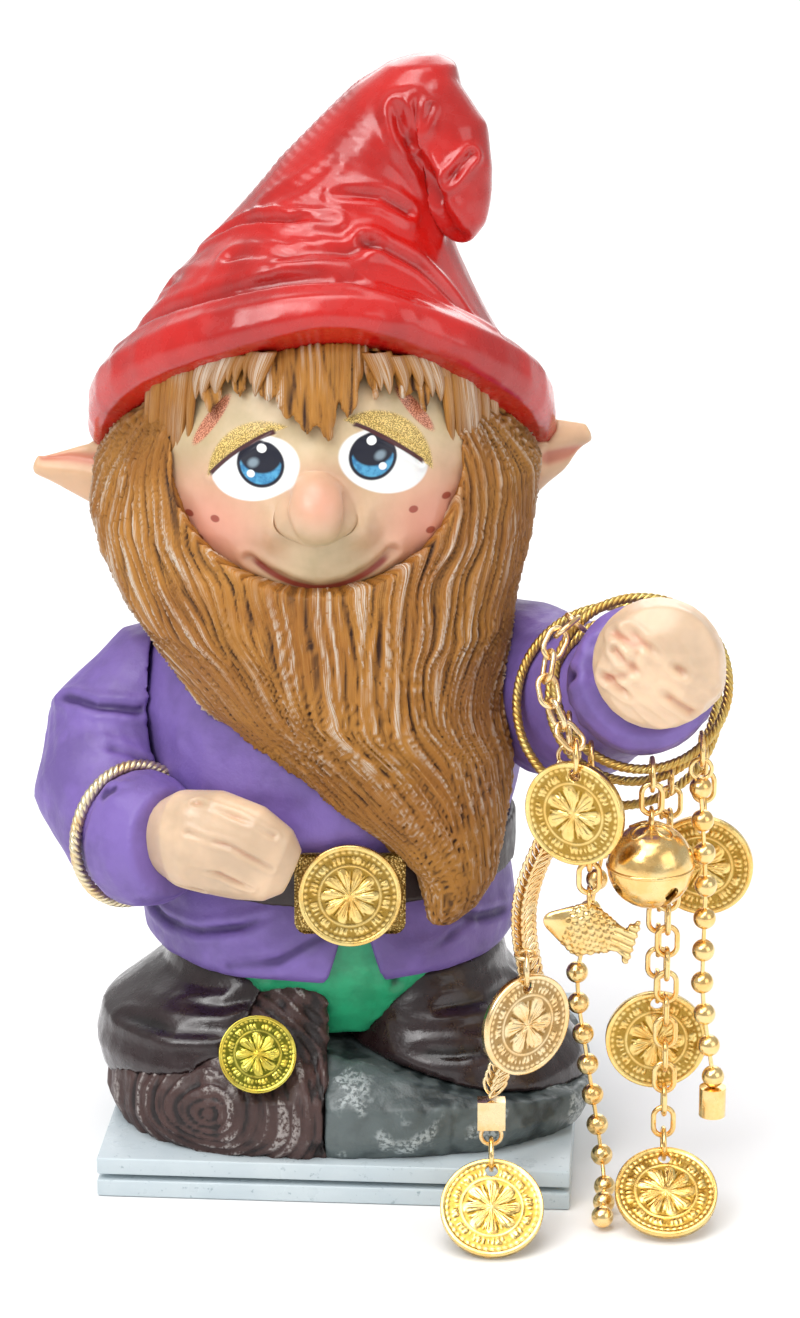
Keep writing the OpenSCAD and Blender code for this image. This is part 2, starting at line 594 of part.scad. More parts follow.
// The wheat chain's way down, from its top eye: sideways, and share of the drop
wheat_way = [[-0.5, 0.15], [-4.4, 0.28], [-6.9, 0.43], [-6.6, 0.56], [-5.4, 0.66], [-7, 0.79],
    [-10.2, 0.9], [-12, 0.95], [-12, 0.975], [-12, 1]];
wheat_start = 2.73;
wheat_points = concat([wheat_foot - [0, 0, wheat_start]],
    [for (p = wheat_way) wheat_foot + [p.x, 0, -p.y * (wheat_foot.z - wheat_low)]]);
wheat_end = wheat_points[len(wheat_points) - 1];
module eye_at(c) translate(c) rotate([90, 0, 0]) torus(loop_r, loop_wire / 2);
// The middle coin hangs before the chain, on a ring through an eye on its face
middle_eye_at = wheat_points[4] - [0, wheat_t / 2 + loop_r, 0];
wheat_eye_at = wheat_foot - [0, 0, loop_r - loop_wire / 2 - ring_w - play];
module wheat_ring() color("gold") hung_ring(wheat_hook, on_steep, big_ring_d);
module wheat_chain() color("gold") resize([0, 0, 0]) union() {
    eye_at(wheat_eye_at);
    translate(middle_eye_at) torus(loop_r, loop_wire / 2);
    tube(smooth(wheat_points), wheat_w / 2, wheat_t / 2);
}
end_eye_at = wheat_end - [0, 0, crimp_l + loop_r - loop_wire / 2];
module wheat_crimp() color("gold") {
    translate(wheat_end - [crimp_w / 2, crimp_t / 2, crimp_l]) cube([crimp_w, crimp_t, crimp_l]);
    eye_at(end_eye_at);
}
low_hook = end_eye_at - [0, 0, loop_r];
on_eye = loop_wire / 2 + play;
module low_coin_ring() color("gold") leaning(low_hook, low_lean) hung_ring(low_hook, on_eye);
module low_coin() color("gold") leaning(low_hook, low_lean) hung_coin(ring_foot(low_hook, on_eye));
middle_yaw = 36;
middle_wire = middle_eye_at - [0, loop_r, 0];
module middle_coin_ring() color("gold") hung_ring(middle_wire, on_eye);
module middle_coin() color("gold") hung_coin(ring_foot(middle_wire, on_eye), middle_yaw);

// ---- Ball chains: beads on pins along a way ----
module ball_chain(points) {
    for (p = points) translate(p) sphere(r = bead_d / 2, $fn = 24);
    for (i = [1:len(points) - 1]) rod(points[i - 1], points[i], pin_d / 2);
}
module rod(a, b, r) translate(a) rotate([0, acos((b - a).z / norm(b - a)), atan2((b - a).y, (b - a).x)])
    cylinder(h = norm(b - a), r = r, $fn = 16);
// Even steps of one bead pitch along a bent line
function way_len(w, i) = norm(w[i + 1] - w[i]);
function on_way(w, s, i = 0) = i >= len(w) - 2 || s <= way_len(w, i)
    ? w[i] + (w[i + 1] - w[i]) * s / way_len(w, i) : on_way(w, s - way_len(w, i), i + 1);
function way_total(w) = sum([for (i = [0:len(w) - 2]) way_len(w, i)], len(w) - 2);
function beads(w) = [for (s = [0:bead_pitch:way_total(w) + EPS]) on_way(w, s)];

long_hook = cord_hook(cord_back, 262);
long_foot = ring_foot(long_hook, on_cord);
long_eye_at = long_foot - [0, 0, loop_r - loop_wire / 2 - ring_w - play];
long_top = long_eye_at - [0, 0, loop_r + bead_d / 2 - loop_wire / 2];
// The chain ends on the table, or on the plinth when the plinth reaches under it
chain_forward = 30;
plinth_edge = plinth_w / 2 - chain_forward * sin(plinth_turn);
long_floor = long_top.x - bead_d / 2 - loop_wire < plinth_edge ? plinth_h : 0;
long_low = long_floor + bead_d / 2 + floor_gap;
long_drop = long_top.z - long_low;
// Down in a gentle bow, then forward along the table
long_way = [for (p = [[0, 0, 1], [-4.4, 0, 0.6], [-1.6, 0, 0.3], [0.4, 0, 0.09], [0.9, -5, 0], [-0.6,
    -21, 0]])
    [long_top.x + p.x, long_top.y + p.y, long_low + p.z * long_drop]];
module long_ball_ring() color("gold") hung_ring(long_hook, on_cord);
module long_ball_chain() color("gold") {
    eye_at(long_eye_at);
    ball_chain(beads(long_way));
}

right_hook = cord_hook(cord_front, 313);
right_foot = ring_foot(right_hook, on_slant);
right_eye_at = right_foot - [0, 0, loop_r - loop_wire / 2 - ring_w - play];
right_top = right_eye_at - [0, 0, loop_r + bead_d / 2 - loop_wire / 2];
right_low = 24 * k;
right_way = [for (p = [[0, 1], [1.2, 0.7], [1, 0.32], [3.6, 0]])
    [right_top.x + p.x, right_top.y, right_low + p.y * (right_top.z - right_low)]];
right_beads = beads(right_way);
right_end = right_beads[len(right_beads) - 1];
module right_ball_ring() color("gold") hung_ring(right_hook, on_slant);
module right_ball_chain() color("gold") {
    eye_at(right_eye_at);
    ball_chain(right_beads);
}
coupling_d = 4.4;
coupling_l = 5;
module ball_coupling() color("gold") translate(right_end - [0, 0,
    bead_d / 2 + coupling_l]) cylinder(h = coupling_l, r = coupling_d / 2, $fn = 32);

// ---- Curb chain and the coins behind ----
curb_hook = cord_hook(cord_mid, 297);
curb_foot = ring_foot(curb_hook, on_cord);
curb_links = links_to(curb_foot, 8);
curb_end = chain_foot(curb_foot, curb_links);
module curb_chain() color("gold") {
    hung_ring(curb_hook, on_cord);
    hung_links(curb_foot, curb_links);
}
// The coin leans until its edge is just above the table
curb_lean = acos(min(1, (curb_end.z - floor_gap - coin_t) / coin_drop));
module curb_coin_ring() color("gold") leaning(curb_end, curb_lean) hung_ring(curb_end, on_link);
module curb_coin() color("gold") leaning(curb_end, curb_lean) hung_coin(ring_foot(curb_end, on_link));

back_hook = cord_hook(cord_back, 295);
back_foot = ring_foot(back_hook, on_cord);
back_links = links_to(back_foot, 36 * k);
back_end = chain_foot(back_foot, back_links);
module back_chain() color("gold") {
    hung_ring(back_hook, on_cord);
    hung_links(back_foot, back_links);
}
module back_coin_ring() color("gold") hung_ring(back_end, on_link);
module back_coin() color("gold") hung_coin(ring_foot(back_end, on_link));

side_hook = cord_hook(cord_back, 329);
side_foot = ring_foot(side_hook, on_steep, big_ring_d);
side_links = links_to(side_foot, 66 * k);
side_end = chain_foot(side_foot, side_links);
module side_chain() color("gold") {
    hung_ring(side_hook, on_steep, big_ring_d);
    hung_links(side_foot, side_links);
}
module side_coin_ring() color("gold") hung_ring(side_end, on_link);
side_yaw = -12;
module side_coin() color("gold") hung_coin(ring_foot(side_end, on_link), side_yaw);

plinth_top_leaf();
plinth_core();
plinth_bottom_leaf();
base_log();
base_rock();
right_boot();
left_boot();
trousers();
coat();
belt();
buckle_plate();
buckle_coin();
log_coin();
right_sleeve();
right_cuff();
right_cuff_cord();
right_hand();
left_sleeve();
left_cuff();
left_hand();
head();
right_ear();
left_ear();
hair_fringe();
beard();
hat();
wrist_chain();
wrist_cord_front();
wrist_cord_middle();
wrist_cord_back();
front_coin_ring();
front_coin();
bell_chain();
bell_shell();
bell_pellet();
fish_chain();
fish();
wheat_ring();
wheat_chain();
wheat_crimp();
low_coin_ring();
low_coin();
middle_coin_ring();
middle_coin();
long_ball_ring();
long_ball_chain();
right_ball_ring();
right_ball_chain();
ball_coupling();
curb_chain();
curb_coin_ring();
curb_coin();
back_chain();
back_coin_ring();
back_coin();
side_chain();
side_coin_ring();
side_coin();
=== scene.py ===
"""Garden gnome: sculpted, painted and plated pieces round the CAD frame. The figure faces -Y."""
import json
import math

import bmesh
import bpy
import numpy as np
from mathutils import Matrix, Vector


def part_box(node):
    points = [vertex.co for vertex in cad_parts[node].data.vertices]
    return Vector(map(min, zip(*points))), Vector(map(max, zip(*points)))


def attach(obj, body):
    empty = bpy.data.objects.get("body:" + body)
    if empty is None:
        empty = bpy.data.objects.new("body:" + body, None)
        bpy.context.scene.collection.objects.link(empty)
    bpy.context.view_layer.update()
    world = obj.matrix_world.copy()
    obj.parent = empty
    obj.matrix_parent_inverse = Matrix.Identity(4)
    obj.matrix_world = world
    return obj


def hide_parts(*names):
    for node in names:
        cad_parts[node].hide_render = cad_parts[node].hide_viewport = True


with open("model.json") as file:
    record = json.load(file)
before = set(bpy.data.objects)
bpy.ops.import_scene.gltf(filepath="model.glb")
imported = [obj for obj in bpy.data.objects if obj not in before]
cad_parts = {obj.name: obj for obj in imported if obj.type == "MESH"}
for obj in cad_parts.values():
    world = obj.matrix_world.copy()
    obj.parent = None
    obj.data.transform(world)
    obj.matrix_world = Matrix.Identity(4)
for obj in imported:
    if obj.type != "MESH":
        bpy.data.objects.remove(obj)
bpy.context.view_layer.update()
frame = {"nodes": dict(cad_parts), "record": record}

MM = 0.001
BODY_OF = {n: b for b, members in frame["record"]["behaviour"]["bodies"].items() for n in members}


# ---- Meshes as arrays, in millimetres ----
def coords(mesh):
    flat = np.empty(len(mesh.vertices) * 3)
    mesh.vertices.foreach_get("co", flat)
    return flat.reshape(-1, 3) / MM


def set_coords(mesh, points):
    mesh.vertices.foreach_set("co", (points * MM).ravel())
    mesh.update()


def normals(mesh):
    flat = np.empty(len(mesh.vertices) * 3)
    mesh.vertex_normals.foreach_get("vector", flat)
    return flat.reshape(-1, 3)


def apply(obj, kind, **settings):
    """Adds a modifier and applies it."""
    bpy.ops.object.select_all(action="DESELECT")
    bpy.context.view_layer.objects.active = obj
    obj.select_set(True)
    modifier = obj.modifiers.new(kind.title(), kind)
    for key, value in settings.items():
        setattr(modifier, key, value)
    bpy.ops.object.modifier_apply(modifier=modifier.name)


def new_object(name, mesh, body, material, replaced=(), smooth=True):
    obj = bpy.data.objects.new(name, mesh)
    bpy.context.scene.collection.objects.link(obj)
    finish_piece(obj, body, material, replaced, smooth)
    return obj


def finish_piece(obj, body, material, replaced=(), smooth=True):
    obj.data.materials.clear()
    obj.data.materials.append(material)
    obj.data.polygons.foreach_set("use_smooth", [smooth] * len(obj.data.polygons))
    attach(obj, body)
    if replaced:
        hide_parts(*replaced)


def merged_copy(node, name):
    """A copy of a CAD node's mesh with its doubled points merged."""
    mesh = frame["nodes"][node].data.copy()
    mesh.name = name
    work = bmesh.new()
    work.from_mesh(mesh)
    bmesh.ops.remove_doubles(work, verts=work.verts, dist=1e-6)
    work.to_mesh(mesh)
    work.free()
    for attribute in [a for a in mesh.attributes if a.name == "custom_normal"]:
        mesh.attributes.remove(attribute)
    return mesh


def cast(node, voxel, smooth, grow=0.12):
    """A casting: the CAD solid remeshed finely and softened, then grown a little to meet its neighbours."""
    obj = bpy.data.objects.new(node + "_cast", merged_copy(node, node + "_cast"))
    bpy.context.scene.collection.objects.link(obj)
    apply(obj, "REMESH", mode="VOXEL", voxel_size=voxel * MM)
    apply(obj, "SMOOTH", factor=0.5, iterations=smooth)
    set_coords(obj.data, coords(obj.data) + normals(obj.data) * grow)
    return obj


def carry(node, material, bevel=0.0):
    """An exact CAD shape carried over under its own finish."""
    obj = bpy.data.objects.new(node + "_metal", merged_copy(node, node + "_metal"))
    bpy.context.scene.collection.objects.link(obj)
    if bevel:
        apply(obj, "BEVEL", width=bevel * MM, segments=3, limit_method="ANGLE", angle_limit=math.radians(40))
    finish_piece(obj, BODY_OF[node], material, [node])
    bpy.ops.object.select_all(action="DESELECT")
    bpy.context.view_layer.objects.active = obj
    obj.select_set(True)
    bpy.ops.object.shade_smooth_by_angle(angle=math.radians(35))
    return obj


# ---- Shape tools ----
def noise(points, scale, seed=0):
    """Smooth value noise of about -1 to 1."""
    scaled = points * scale
    cell = np.floor(scaled).astype(np.int64)
    part = scaled - cell
    part = part * part * (3 - 2 * part)
    total = np.zeros(len(points))
    for corner in range(8):
        step = np.array([corner & 1, corner >> 1 & 1, corner >> 2 & 1])
        key = (cell + step) @ np.array([73856093, 19349663, 83492791]) + seed * 7919
        key = (key ^ (key >> 13)) * 1274126177
        value = ((key >> 7) & 0xFFFF) / 32767.5 - 1
        weight = np.prod(np.where(step == 1, part, 1 - part), axis=1)
        total += value * weight
    return total


def fractal(points, scale, octaves=3, seed=0):
    return sum(noise(points, scale * 2**i, seed + i) / 2**i for i in range(octaves))


def line_distance(points, line):
    line = np.array(line, float)
    best = np.full(len(points), 1e9)
    for a, b in zip(line[:-1], line[1:]):
        along = np.clip((points - a) @ (b - a) / max(1e-9, (b - a) @ (b - a)), 0, 1)
        best = np.minimum(best, np.linalg.norm(points - a - along[:, None] * (b - a), axis=1))
    return best


class Sculpt:
    """Pushes a piece's surface along its normals and keeps where it was pushed, for the paint; creases also keep
    painted shade.
    """

    def __init__(self, obj):
        self.obj = obj
        self.points = coords(obj.data)
        self.normals = normals(obj.data)
        self.push = np.zeros(len(self.points))
        self.shade_and_wear = np.zeros(len(self.points))

    def crease(self, line, width, depth, lip=0.45, shade=1.0):
        d = line_distance(self.points, line)
        groove = np.exp(-((d / width) ** 2))
        self.push += depth * (lip * np.exp(-(((d - 2 * width) / width) ** 2)) - groove)
        # The groove is marked for painted shade, which the paint darkens.
        self.shade_and_wear -= shade * groove

    def bump(self, centre, radius, height):
        d = np.linalg.norm(self.points - np.array(centre, float), axis=1)
        self.push += height * np.exp(-((d / radius) ** 2))

    def relief(self, height, shade_and_wear=0.0):
        self.push += height
        self.shade_and_wear += shade_and_wear

    def done(self, body, material, replaced):
        set_coords(self.obj.data, self.points + self.normals * self.push[:, None])
        layer = self.obj.data.attributes.new("shade_and_wear", "FLOAT", "POINT")
        layer.data.foreach_set("value", np.clip(self.shade_and_wear, -1, 1).astype(np.float32))
        finish_piece(self.obj, body, material, replaced)


def tube_mesh(name, paths, radius, sides=8):
    """Round tubes along paths in millimetres. A path is (points, closed)."""
    verts, faces = [], []
    for path, closed in paths:
        path = np.array(path, float)
        count = len(path)
        ahead = np.roll(path, -1, 0) - np.roll(path, 1, 0)
        if not closed:
            ahead[0], ahead[-1] = path[1] - path[0], path[-1] - path[-2]
        ahead /= np.linalg.norm(ahead, axis=1)[:, None]
        side = np.cross(ahead[0], [0.3, 0.5, 0.81])
        base = len(verts)
        for point, way in zip(path, ahead):
            side = side - way * (side @ way)
            side /= np.linalg.norm(side)
            up = np.cross(way, side)
            for i in range(sides):
                a = 2 * math.pi * i / sides
                verts.append((point + radius * (math.cos(a) * side + math.sin(a) * up)) * MM)
        for j in range(count if closed else count - 1):
            k = (j + 1) % count
            for i in range(sides):
                i2 = (i + 1) % sides
                here, there = base + j * sides, base + k * sides
                faces.append([here + i, here + i2, there + i2, there + i])
        if not closed:
            faces.append([base + i for i in reversed(range(sides))])
            faces.append([base + (count - 1) * sides + i for i in range(sides)])
    mesh = bpy.data.meshes.new(name)
    mesh.from_pydata([tuple(v) for v in verts], [], faces)
    return mesh


# ---- Materials ----
class Paint:
    """A node material built round one principled shader."""

    def __init__(self, name, rough=0.5, metal=0.0, coat=0.0, coat_rough=0.1, sub=0.0):
        self.mat = bpy.data.materials.new(name)
        self.mat.use_nodes = True
        self.tree = self.mat.node_tree
        self.shader = self.tree.nodes["Principled BSDF"]
        self.shader.inputs["Metallic"].default_value = metal
        self.shader.inputs["Roughness"].default_value = rough
        self.shader.inputs["Coat Weight"].default_value = coat
        self.shader.inputs["Coat Roughness"].default_value = coat_rough
        if sub:
            self.shader.inputs["Subsurface Weight"].default_value = sub
            self.shader.inputs["Subsurface Radius"].default_value = (1.0, 0.5, 0.3)
            self.shader.inputs["Subsurface Scale"].default_value = 0.002
        self.place = self.node("ShaderNodeTexCoord").outputs["Object"]

    def node(self, kind, **inputs):
        made = self.tree.nodes.new(kind)
        for key, value in inputs.items():
            self.put(made.inputs[key.replace("_", " ")], value)
        return made

    def put(self, socket, value):
        if isinstance(value, bpy.types.NodeSocket):
            self.tree.links.new(value, socket)
        else:
            socket.default_value = value

    def noise(self, scale, detail=4.0, rough=0.55, vector=None):
        made = self.node("ShaderNodeTexNoise", Vector=vector or self.place, Scale=scale, Detail=detail,
                         Roughness=rough)
        return made.outputs["Fac"]

    def span(self, value, low, high, to_low=0.0, to_high=1.0):
        made = self.node("ShaderNodeMapRange", Value=value)
        made.interpolation_type = "SMOOTHSTEP"
        for key, number in (("From Min", low), ("From Max", high), ("To Min", to_low), ("To Max", to_high)):
            self.put(made.inputs[key], number)
        return made.outputs["Result"]

    def math(self, kind, a, b=0.0):
        made = self.tree.nodes.new("ShaderNodeMath")
        made.operation = kind
        self.put(made.inputs[0], a)
        self.put(made.inputs[1], b)
        return made.outputs[0]

    def mix(self, factor, a, b):
        made = self.tree.nodes.new("ShaderNodeMix")
        made.data_type = "RGBA"
        self.put(made.inputs["Factor"], factor)
        self.put(made.inputs["A"], rgba(a))
        self.put(made.inputs["B"], rgba(b))
        return made.outputs["Result"]

    def attribute(self, name):
        made = self.tree.nodes.new("ShaderNodeAttribute")
        made.attribute_name = name
        return made.outputs["Fac"]

    def front_distance(self, x, z, rx, rz, turn=0.0):
        """Distance from a point of the front, 1 on an ellipse of the given half sizes in millimetres."""
        made = self.tree.nodes.new("ShaderNodeMapping")
        made.vector_type = "TEXTURE"
        self.put(made.inputs["Vector"], self.place)
        made.inputs["Location"].default_value = (x * MM, 0, z * MM)
        made.inputs["Rotation"].default_value = (0, -math.radians(turn), 0)
        made.inputs["Scale"].default_value = (rx * MM, 1e6, rz * MM)
        length = self.tree.nodes.new("ShaderNodeVectorMath")
        length.operation = "LENGTH"
        self.put(length.inputs[0], made.outputs["Vector"])
        return length.outputs["Value"]

    def disc(self, x, z, radius, soft):
        """1 inside a circle on the front."""
        return self.spot(x, z, radius, radius, 0, soft)

    def spot(self, x, z, rx, rz, turn=0.0, soft=0.08):
        """1 inside an ellipse on the front, turned anticlockwise as seen from the front."""
        return self.span(self.front_distance(x, z, rx, rz, turn), 1 + soft, 1 - soft)

    def arc(self, x, z, radius, half_width, soft=0.12):
        """1 on a circular line on the front."""
        off = self.math("ABSOLUTE", self.math("SUBTRACT", self.front_distance(x, z, 1, 1), radius))
        return self.span(off, half_width + soft, half_width - soft)

    def done(self, colour, rough=None, height=None, bump=0.3, distance=0.0004):
        self.put(self.shader.inputs["Base Color"], rgba(colour))
        if rough is not None:
            self.put(self.shader.inputs["Roughness"], rough)
        if height is not None:
            made = self.node("ShaderNodeBump", Strength=bump, Distance=distance, Height=height)
            self.put(self.shader.inputs["Normal"], made.outputs["Normal"])
        return self.mat


def rgba(colour):
    if isinstance(colour, tuple) and len(colour) == 3:
        return (*colour, 1.0)
    return colour


def resin(name, base, dark, light, rough, coat=0.0, dry=0.6, mottle=180, bump=0.25, sub=0.0):
    """Painted resin: mottled colour, painted shade in the hollows, dry brushing on the ridges."""
    p = Paint(name, rough, coat=coat, coat_rough=0.12, sub=sub)
    shade = tuple(c * 0.72 for c in base)
    colour = p.mix(p.span(p.noise(mottle), 0.38, 0.66), base, shade)
    shade_and_wear = p.attribute("shade_and_wear")
    fine = p.noise(1500, 3)
    # Painted shade: darker colour in the creases and hollows.
    colour = p.mix(p.span(shade_and_wear, -0.12, -0.75), colour, dark)
    brushed = p.math("MULTIPLY", p.span(shade_and_wear, 0.25, 0.8), p.span(fine, 0.38, 0.6))
    colour = p.mix(p.math("MULTIPLY", brushed, dry), colour, light)
    roughness = p.span(p.noise(420), 0.3, 0.7, max(0.05, rough - 0.08), rough + 0.1)
    return p.done(colour, roughness, p.math("ADD", fine, p.math("MULTIPLY", p.noise(600), 2.0)), bump, 0.0002)


def plating(name, base, dark, rough=0.2, mottle=260):
    """Bright plated metal with tarnish in its hollows."""
    p = Paint(name, rough, metal=1.0)
    warm = tuple(min(1, c * f) for c, f in zip(base, (1.0, 0.86, 0.68)))
    colour = p.mix(p.span(p.noise(mottle), 0.4, 0.62), base, warm)
    colour = p.mix(p.span(p.attribute("shade_and_wear"), -0.1, -0.8), colour, dark)
    roughness = p.span(p.noise(700), 0.3, 0.7, rough * 0.7, rough * 1.5)
    return p.done(colour, roughness, p.noise(1300, 3), 0.12, 0.0002)


def face_paint():
    """Skin with painted eyes, brows, cheeks, freckles, a thin mouth line and painted shade in its creases."""
    p = Paint("face_paint", 0.38, coat=0.15, sub=0.12)
    skin, wash = (0.66, 0.5, 0.31), (0.5, 0.39, 0.22)
    pink, maroon = (0.78, 0.3, 0.23), (0.07, 0.012, 0.015)
    colour = p.mix(p.span(p.noise(110), 0.35, 0.7), skin, wash)
    # Painted shade in the nostrils, smile lines and other face creases.
    colour = p.mix(p.span(p.attribute("shade_and_wear"), -0.1, -0.9), colour, (0.3, 0.2, 0.08))
    blushes = ((-23, 114, 9, 8, 0.75), (14.5, 114.5, 9, 8, 0.75), (-4.4, 120.8, 5, 4, 0.6))
    for x, z, rx, rz, amount in blushes:
        colour = p.mix(p.math("MULTIPLY", p.spot(x, z, rx, rz, 0, 0.95), amount), colour, pink)
    mouth = p.math("MULTIPLY", p.arc(-4.6, 119.7, 14.9, 0.55, 0.35), p.spot(-4.6, 104.5, 13.6, 8, 3, 0.1))
    colour = p.mix(mouth, colour, (0.3, 0.055, 0.035))
    freckles = ((-26, 115.8), (-21.6, 115.8), (-24.4, 112), (10.8, 117.5), (16.2, 118.8), (13.6, 113.6))
    for x, z in freckles:
        colour = p.mix(p.spot(x, z, 0.75, 0.6, 0, 0.2), colour, (0.36, 0.08, 0.05))
    glitter = p.noise(5200, 1)
    gold = p.mix(p.span(glitter, 0.4, 0.62), (0.3, 0.19, 0.04), (0.85, 0.62, 0.2))
    copper = p.mix(p.span(glitter, 0.4, 0.62), (0.32, 0.09, 0.04), (0.75, 0.33, 0.2))
    # Iris, white of the eye, lid line's circle, the part of it drawn, glitter over it and brow:
    # centres, sizes and turns, then the side of the face
    eyes = (
        ((-14.0, 125.4), (-14.9, 124.7, 7.4, 5.2, 14), (-1.95, 105.9, 26.6), (-17.05, 127.0, 6.6),
         (-13.2, 122.6, 9.5), (-22.1, 131.6, 5.1, 1.0, 54), -1),
        ((4.2, 126.6), (5.9, 125.7, 7.4, 5.0, -16), (-11.7, 98.0, 36.2), (6.8, 128.5, 6.6),
         (4.2, 124.0, 9.7), (11.0, 133.4, 4.7, 1.0, -50), 1),
    )
    for iris, white, lid, lid_clip, lid_gold, brow, side in eyes:
        colour = p.mix(p.spot(*brow, 0.15), colour, copper)
        below = p.disc(*lid, 0.006)
        above = p.math("SUBTRACT", 1.0, below)
        colour = p.mix(p.math("MULTIPLY", p.disc(*lid_gold, 0.03), above), colour, gold)
        colour = p.mix(p.math("MULTIPLY", p.spot(*white, 0.035), below), colour, (0.86, 0.87, 0.86))
        colour = p.mix(p.math("MULTIPLY", p.spot(*iris, 3.9, 3.8, 0, 0.04), below), colour, (0.004, 0.005, 0.018))
        dark = p.spot(iris[0], iris[1] + 1.5, 3.5, 3.0, 0, 0.08)
        crescent = p.math("SUBTRACT", p.spot(*iris, 3.35, 3.25, 0, 0.05), dark)
        blue = p.mix(p.span(p.noise(900, 2), 0.35, 0.65), (0.03, 0.2, 0.42), (0.09, 0.38, 0.62))
        colour = p.mix(p.math("MAXIMUM", crescent, 0.0), colour, blue)
        sheen = p.math("MULTIPLY", p.spot(iris[0] + side * 1.2, iris[1] + 0.2, 0.9, 0.7, 30, 0.5), 0.5)
        colour = p.mix(sheen, colour, (0.45, 0.6, 0.7))
        colour = p.mix(p.spot(iris[0] - side * 0.2, iris[1] + 2.6, 0.8, 0.75, 0, 0.12), colour, (0.95, 0.96, 0.97))
        colour = p.mix(p.spot(iris[0] + side * 1.6, iris[1] - 1.6, 0.66, 0.62, 0, 0.15), colour, (0.8, 0.88, 0.93))
        line = p.math("MULTIPLY", p.arc(*lid, 0.36), p.disc(*lid_clip, 0.06))
        colour = p.mix(line, colour, maroon)
    roughness = p.span(p.noise(500), 0.3, 0.7, 0.3, 0.45)
    return p.done(colour, roughness, p.noise(900, 3), 0.12, 0.0002)


def hair_paint():
    """Ochre strands with painted shade in the grooves and streaky white dry brushing along their flow."""
    p = Paint("hair_paint", 0.55)
    flow = p.tree.nodes.new("ShaderNodeUVMap")
    flow.uv_map = "flow"
    stretch = p.node("ShaderNodeMapping", Vector=flow.outputs["UV"])
    stretch.inputs["Scale"].default_value = (220, 9, 1)
    streak = p.noise(1.0, 3, 0.6, stretch.outputs["Vector"])
    shade_and_wear = p.attribute("shade_and_wear")
    colour = p.mix(p.span(p.noise(60), 0.35, 0.65), (0.5, 0.21, 0.028), (0.36, 0.13, 0.014))
    colour = p.mix(p.span(streak, 0.45, 0.75), colour, (0.52, 0.25, 0.055))
    # Painted shade in the grooves between strands.
    colour = p.mix(p.span(shade_and_wear, 0.05, -0.55), colour, (0.05, 0.015, 0.004))
    patch = p.span(p.noise(38, 2), 0.36, 0.52)
    brushed = p.math("MULTIPLY", p.span(shade_and_wear, 0.1, 0.5), p.span(streak, 0.4, 0.56))
    colour = p.mix(p.math("MULTIPLY", p.math("MULTIPLY", brushed, patch), 0.95), colour, (0.76, 0.66, 0.54))
    return p.done(colour, p.span(streak, 0.3, 0.7, 0.42, 0.65), streak, 0.7, 0.0005)


def glitter_paint(name, base, bright):
    p = Paint(name, 0.35, metal=0.7)
    cells = p.tree.nodes.new("ShaderNodeTexVoronoi")
    p.put(cells.inputs["Vector"], p.place)
    p.put(cells.inputs["Scale"], 2600.0)
    shade = p.span(cells.outputs["Distance"], 0.1, 0.6)
    colour = p.mix(shade, bright, base)
    return p.done(colour, p.span(p.noise(1800), 0.3, 0.7, 0.2, 0.55), cells.outputs["Distance"], 0.8, 0.0004)


def board_paint():
    p = Paint("board", 0.35)
    colour = p.mix(p.span(p.noise(55), 0.35, 0.65), (0.56, 0.63, 0.66), (0.5, 0.58, 0.62))
    colour = p.mix(p.span(p.noise(900, 5), 0.62, 0.75), colour, (0.3, 0.38, 0.42))
    return p.done(colour, p.span(p.noise(200), 0.3, 0.7, 0.25, 0.45), p.noise(700), 0.15, 0.0003)


GOLD = plating("gold", (0.95, 0.71, 0.33), (0.3, 0.16, 0.03), 0.2)
PALE_GOLD = plating("pale_gold", (0.93, 0.74, 0.44), (0.3, 0.17, 0.05), 0.22)
COIN_GOLD = plating("coin_gold", (0.95, 0.72, 0.28), (0.32, 0.18, 0.02), 0.24)
GREEN_GOLD = plating("green_gold", (0.75, 0.66, 0.12), (0.12, 0.13, 0.01), 0.3)
CORD_GOLD = plating("cord_gold", (0.62, 0.46, 0.16), (0.1, 0.06, 0.01), 0.36)
DULL_CORD = plating("dull_cord", (0.82, 0.72, 0.5), (0.3, 0.2, 0.1), 0.36)
STEEL = plating("pellet_steel", (0.6, 0.6, 0.6), (0.1, 0.1, 0.1), 0.3)
RED = resin("hat_red", (0.54, 0.009, 0.006), (0.26, 0.004, 0.003), (0.72, 0.06, 0.04), 0.25,
            coat=0.5, dry=0.05, mottle=70, bump=0.04)
VIOLET = resin("coat_violet", (0.2, 0.125, 0.42), (0.06, 0.03, 0.15), (0.4, 0.32, 0.62), 0.5,
               dry=0.3, mottle=90, bump=0.3)
GREEN = resin("trouser_green", (0.025, 0.44, 0.2), (0.004, 0.1, 0.05), (0.2, 0.62, 0.42), 0.4, coat=0.2, dry=0.3)
DARK = resin("boot_dark", (0.022, 0.009, 0.01), (0.006, 0.003, 0.003), (0.14, 0.09, 0.1), 0.3,
             coat=0.4, dry=0.25, bump=0.3)
BELT = resin("belt_dark", (0.035, 0.018, 0.018), (0.008, 0.004, 0.004), (0.25, 0.2, 0.19), 0.42, dry=0.5)
LOG = resin("log_brown", (0.065, 0.03, 0.026), (0.012, 0.006, 0.006), (0.4, 0.36, 0.34), 0.5,
            dry=0.75, mottle=120, bump=0.5)
ROCK = resin("rock_grey", (0.1, 0.125, 0.125), (0.025, 0.035, 0.035), (0.5, 0.55, 0.55), 0.42,
             coat=0.15, dry=0.7, mottle=130, bump=0.5)
FLESH_FINISH = dict(coat=0.15, dry=0.3, mottle=60, bump=0.12, sub=0.15)
SKIN = resin("hand_skin", (0.8, 0.57, 0.38), (0.66, 0.3, 0.19), (0.85, 0.62, 0.45), 0.36, **FLESH_FINISH)
